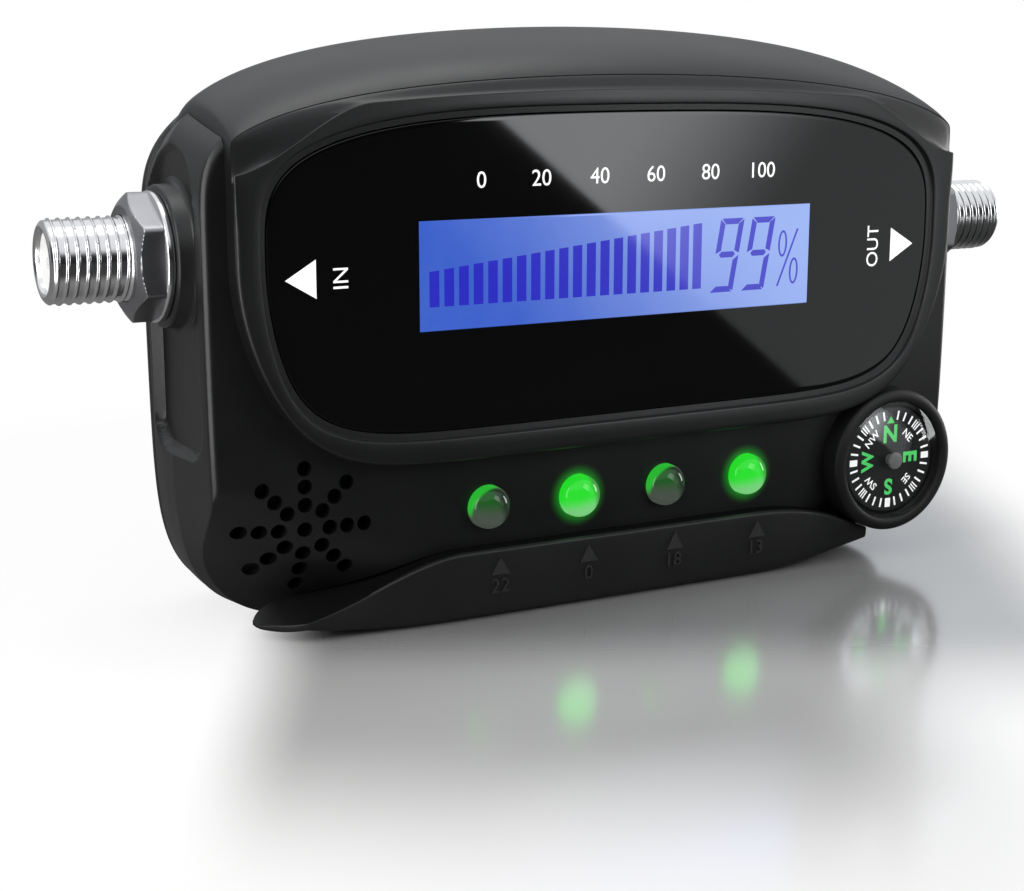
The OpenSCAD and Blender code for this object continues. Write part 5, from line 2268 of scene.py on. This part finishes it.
@dataclass
class Studio:
    """Pale floor, white surroundings, soft lamps and the camera."""

    eye: tuple[float, float, float] = (-110.6, -193.7, 65.3)
    yaw: float = 27.69
    pitch: float = -12.26
    lens: float = 63.27
    floor_half: float = 3.0
    floor_dark: Colour = (0.815, 0.80, 0.785)
    floor_pale: Colour = (0.835, 0.82, 0.805)
    near: tuple[float, float] = (62.0, 165.0)
    mirror: float = 0.62
    mirror_fade: tuple[float, float] = (-88.0, -42.0)
    right_fade: tuple[float, float] = (14.0, 42.0)
    left_fade: tuple[float, float] = (33.0, 46.0)
    side_fade: tuple[float, float] = (-48.0, -14.0)
    mirror_side: tuple[float, float] = (44.0, 66.0)
    side_white: float = 0.8
    contact: float = 0.2
    contact_fade: tuple[float, float] = (-30.0, -8.0)
    dull_least: float = 0.78
    dull_more: float = 0.19
    dull_aim: tuple[float, float] = (0.45, 0.86)
    dull_ahead: tuple[float, float] = (-10.0, 30.0)
    dull_wide: tuple[float, float] = (80.0, 150.0)
    dull_spread: float = 0.6
    dull_light: float = 0.02
    dull_tint: Colour = (0.9, 0.95, 1.0)
    sky_above: tuple[float, float] = (0.28, 0.58)
    sky_behind: tuple[float, float] = (0.15, 0.6)
    sky_behind_share: float = 0.4
    sky_least: float = 0.015
    sky_tint: Colour = (0.955, 0.975, 1.0)
    card_y: float = -85.0
    card_edge: tuple[tuple[float, float], tuple[float, float]] = ((26.2, 12.2), (89.7, -38.2))
    card_before: float = 9.0
    card_after: float = 112.0
    card_w: float = 58.0
    card_fade: tuple[float, float] = (18.0, 58.0)
    card_least: float = 0.17
    card_light: float = 4.5
    card_tint: Colour = (0.96, 0.98, 1.0)
    lamps: tuple[SoftLamp, ...] = (
        SoftLamp("top_box", (0.0, 0.04, 0.50), (0.0, 0.0, 0.05), (0.42, 0.22), 0.75),
        SoftLamp("left_strip", (-0.105, -0.034, 0.05), (-0.05, -0.01, 0.045), (0.026, 0.10), 0.04),
        SoftLamp("right_box", (0.38, -0.045, 0.075), (0.02, 0.0, 0.03), (0.13, 0.15), 0.55),
    )

    def camera(self) -> None:
        """Sets the camera at the photograph's angle."""
        yaw, pitch = math.radians(self.yaw), math.radians(self.pitch)
        ahead = Vector(
            (math.sin(yaw) * math.cos(pitch), math.cos(yaw) * math.cos(pitch), math.sin(pitch))
        )
        right = Vector((math.cos(yaw), -math.sin(yaw), 0.0))
        up = right.cross(ahead)
        data = bpy.data.cameras.new("camera")
        data.sensor_fit = "HORIZONTAL"
        data.sensor_width = 36.0
        data.lens = self.lens
        data.clip_start = 0.01
        camera = bpy.data.objects.new("camera", data)
        turn = Matrix((right, up, -ahead)).transposed().to_4x4()
        camera.matrix_world = Matrix.Translation(Vector(self.eye) * MM) @ turn
        bpy.context.scene.collection.objects.link(camera)
        bpy.context.scene.camera = camera

    @staticmethod
    def sheet(name: str, corners: Sequence[Sequence[float]], graph: Graph) -> bpy.types.Object:
        """A flat sheet of the studio.

        Args:
            name: its name.
            corners: its corners in metres.
            graph: its material's graph.

        Returns:
            The sheet.
        """
        mesh = bpy.data.meshes.new(name)
        mesh.from_pydata([tuple(c) for c in corners], [], [(0, 1, 2, 3)])
        mesh.materials.append(graph.owner)
        sheet = bpy.data.objects.new(name, mesh)
        bpy.context.scene.collection.objects.link(sheet)
        return sheet

    def floor(self) -> None:
        """Lays the pale floor: white far off, with a shadow and a fading reflection near the meter."""
        graph = Graph.material("floor_white")
        x, y, _ = graph.across()
        cloud = graph.noise(120.0, 2.0)
        matte = graph.principled(
            {
                "Base Color": graph.blend(cloud, self.floor_dark, self.floor_pale),
                "Roughness": 0.6 + 0.05 * cloud,
                "Specular IOR Level": 0.0,
            }
        )
        gloss = graph.principled(
            {"Base Color": (0.93, 0.96, 1.0, 1.0), "Metallic": 1.0, "Roughness": 0.13 + 0.03 * cloud}
        )
        seen = graph.light_path("Is Camera Ray")
        away = ((x * x + y * y) ** 0.5).smooth(*self.near)
        cos, sin = math.cos(math.radians(self.yaw)), math.sin(math.radians(self.yaw))
        along, lateral = x * sin + y * cos, x * cos - y * sin
        right = lateral.smooth(*self.right_fade) * (1.0 - along.smooth(*self.side_fade))
        left = (-1.0 * lateral).smooth(*self.left_fade)
        beside = ((lateral * lateral) ** 0.5).smooth(*self.mirror_side).most(right).most(left)
        white = away.most(self.side_white * beside)
        pale = graph.mixed(seen * white, matte, graph.glow(FULL_WHITE, 1.0))
        mirror = self.mirror * along.smooth(*self.mirror_fade)
        contact = self.contact * along.smooth(*self.contact_fade)
        share = (mirror + contact) * (1.0 - beside) * (1.0 - away)
        shiny = graph.mixed(seen * share, pale, gloss)
        dull_x, dull_y = self.dull_aim
        ahead, aside = x * dull_x - y * dull_y, x * dull_y + y * dull_x
        wide = (aside * aside) ** 0.5 - self.dull_spread * ahead
        zone = ahead.smooth(*self.dull_ahead) * (1.0 - wide.smooth(*self.dull_wide))
        dull = graph.light_path("Is Glossy Ray") * (self.dull_least + self.dull_more * zone)
        graph.finish(graph.mixed(dull, shiny, graph.glow(self.dull_tint, self.dull_light)))
        half = self.floor_half
        self.sheet("floor", [(-half, -half, 0), (half, -half, 0), (half, half, 0), (-half, half, 0)], graph)

    def world(self) -> None:
        """Sets white surroundings, whose reflection is bright above and behind and dark in front."""
        world = bpy.data.worlds.new("surroundings")
        bpy.context.scene.world = world
        graph = Graph(world)
        place = graph.node("ShaderNodeTexCoord", {}, {}).outputs["Generated"]
        split = graph.node("ShaderNodeSeparateXYZ", {}, {0: place})
        behind, above = Value(graph, split.outputs["Y"]), Value(graph, split.outputs["Z"])
        back = self.sky_behind_share * behind.smooth(*self.sky_behind)
        sky = above.smooth(*self.sky_above).most(back)
        dim, bright = (graph.glow(self.sky_tint, strength) for strength in (self.sky_least, 1.0))
        around = graph.mixed(sky, dim, bright)
        graph.finish(graph.mixed(graph.light_path("Is Camera Ray"), around, graph.glow(FULL_WHITE, 1.0)))

    def card(self) -> None:
        """Hangs a soft card in front, whose edge shows as a slanted reflection in the window."""
        start, end = (np.array(point) for point in self.card_edge)
        along = (end - start) / np.linalg.norm(end - start)
        out = np.array([-along[1], along[0]])
        low, high = start - along * self.card_before, start + along * self.card_after
        flat = [low, high, high + out * self.card_w, low + out * self.card_w]
        corners = [(np.array([c[0], self.card_y, c[1]]) + FACE_ORIGIN) * MM for c in flat]
        graph = Graph.material("card_white")
        x, _, z = graph.across()
        across, up = x - float(start[0]), z - float(start[1])
        down = across * float(along[0]) + up * float(along[1])
        fade = self.card_least + (1.0 - self.card_least) * (1.0 - down.smooth(*self.card_fade))
        black, white = (graph.glow(colour, self.card_light) for colour in (NO_LIGHT, self.card_tint))
        graph.finish(graph.mixed(fade, black, white))
        card = self.sheet("card_light", corners, graph)
        card.visible_camera = False
        card.visible_shadow = False

    def build(self) -> None:
        """Builds the studio."""
        bpy.context.scene.view_settings.view_transform = "Standard"
        self.camera()
        self.floor()
        self.world()
        for lamp in self.lamps:
            lamp.build()
        self.card()


def main() -> None:
    """Builds the meter's pieces in order."""
    logging.basicConfig(level=logging.INFO, format="%(name)s %(message)s")
    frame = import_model()
    Studio().build()
    form = Housing()
    compass = Compass()
    seat = ChinBar(form).build(compass.cut())
    FrontShell(form).build(seat)
    RearShell(form).build()
    FaceCowl(form).build()
    Display(form).build()
    Lamps().build()
    compass.build()
    Connectors().build()
    Inside().build(frame["nodes"])


if __name__ == "__main__":
    main()
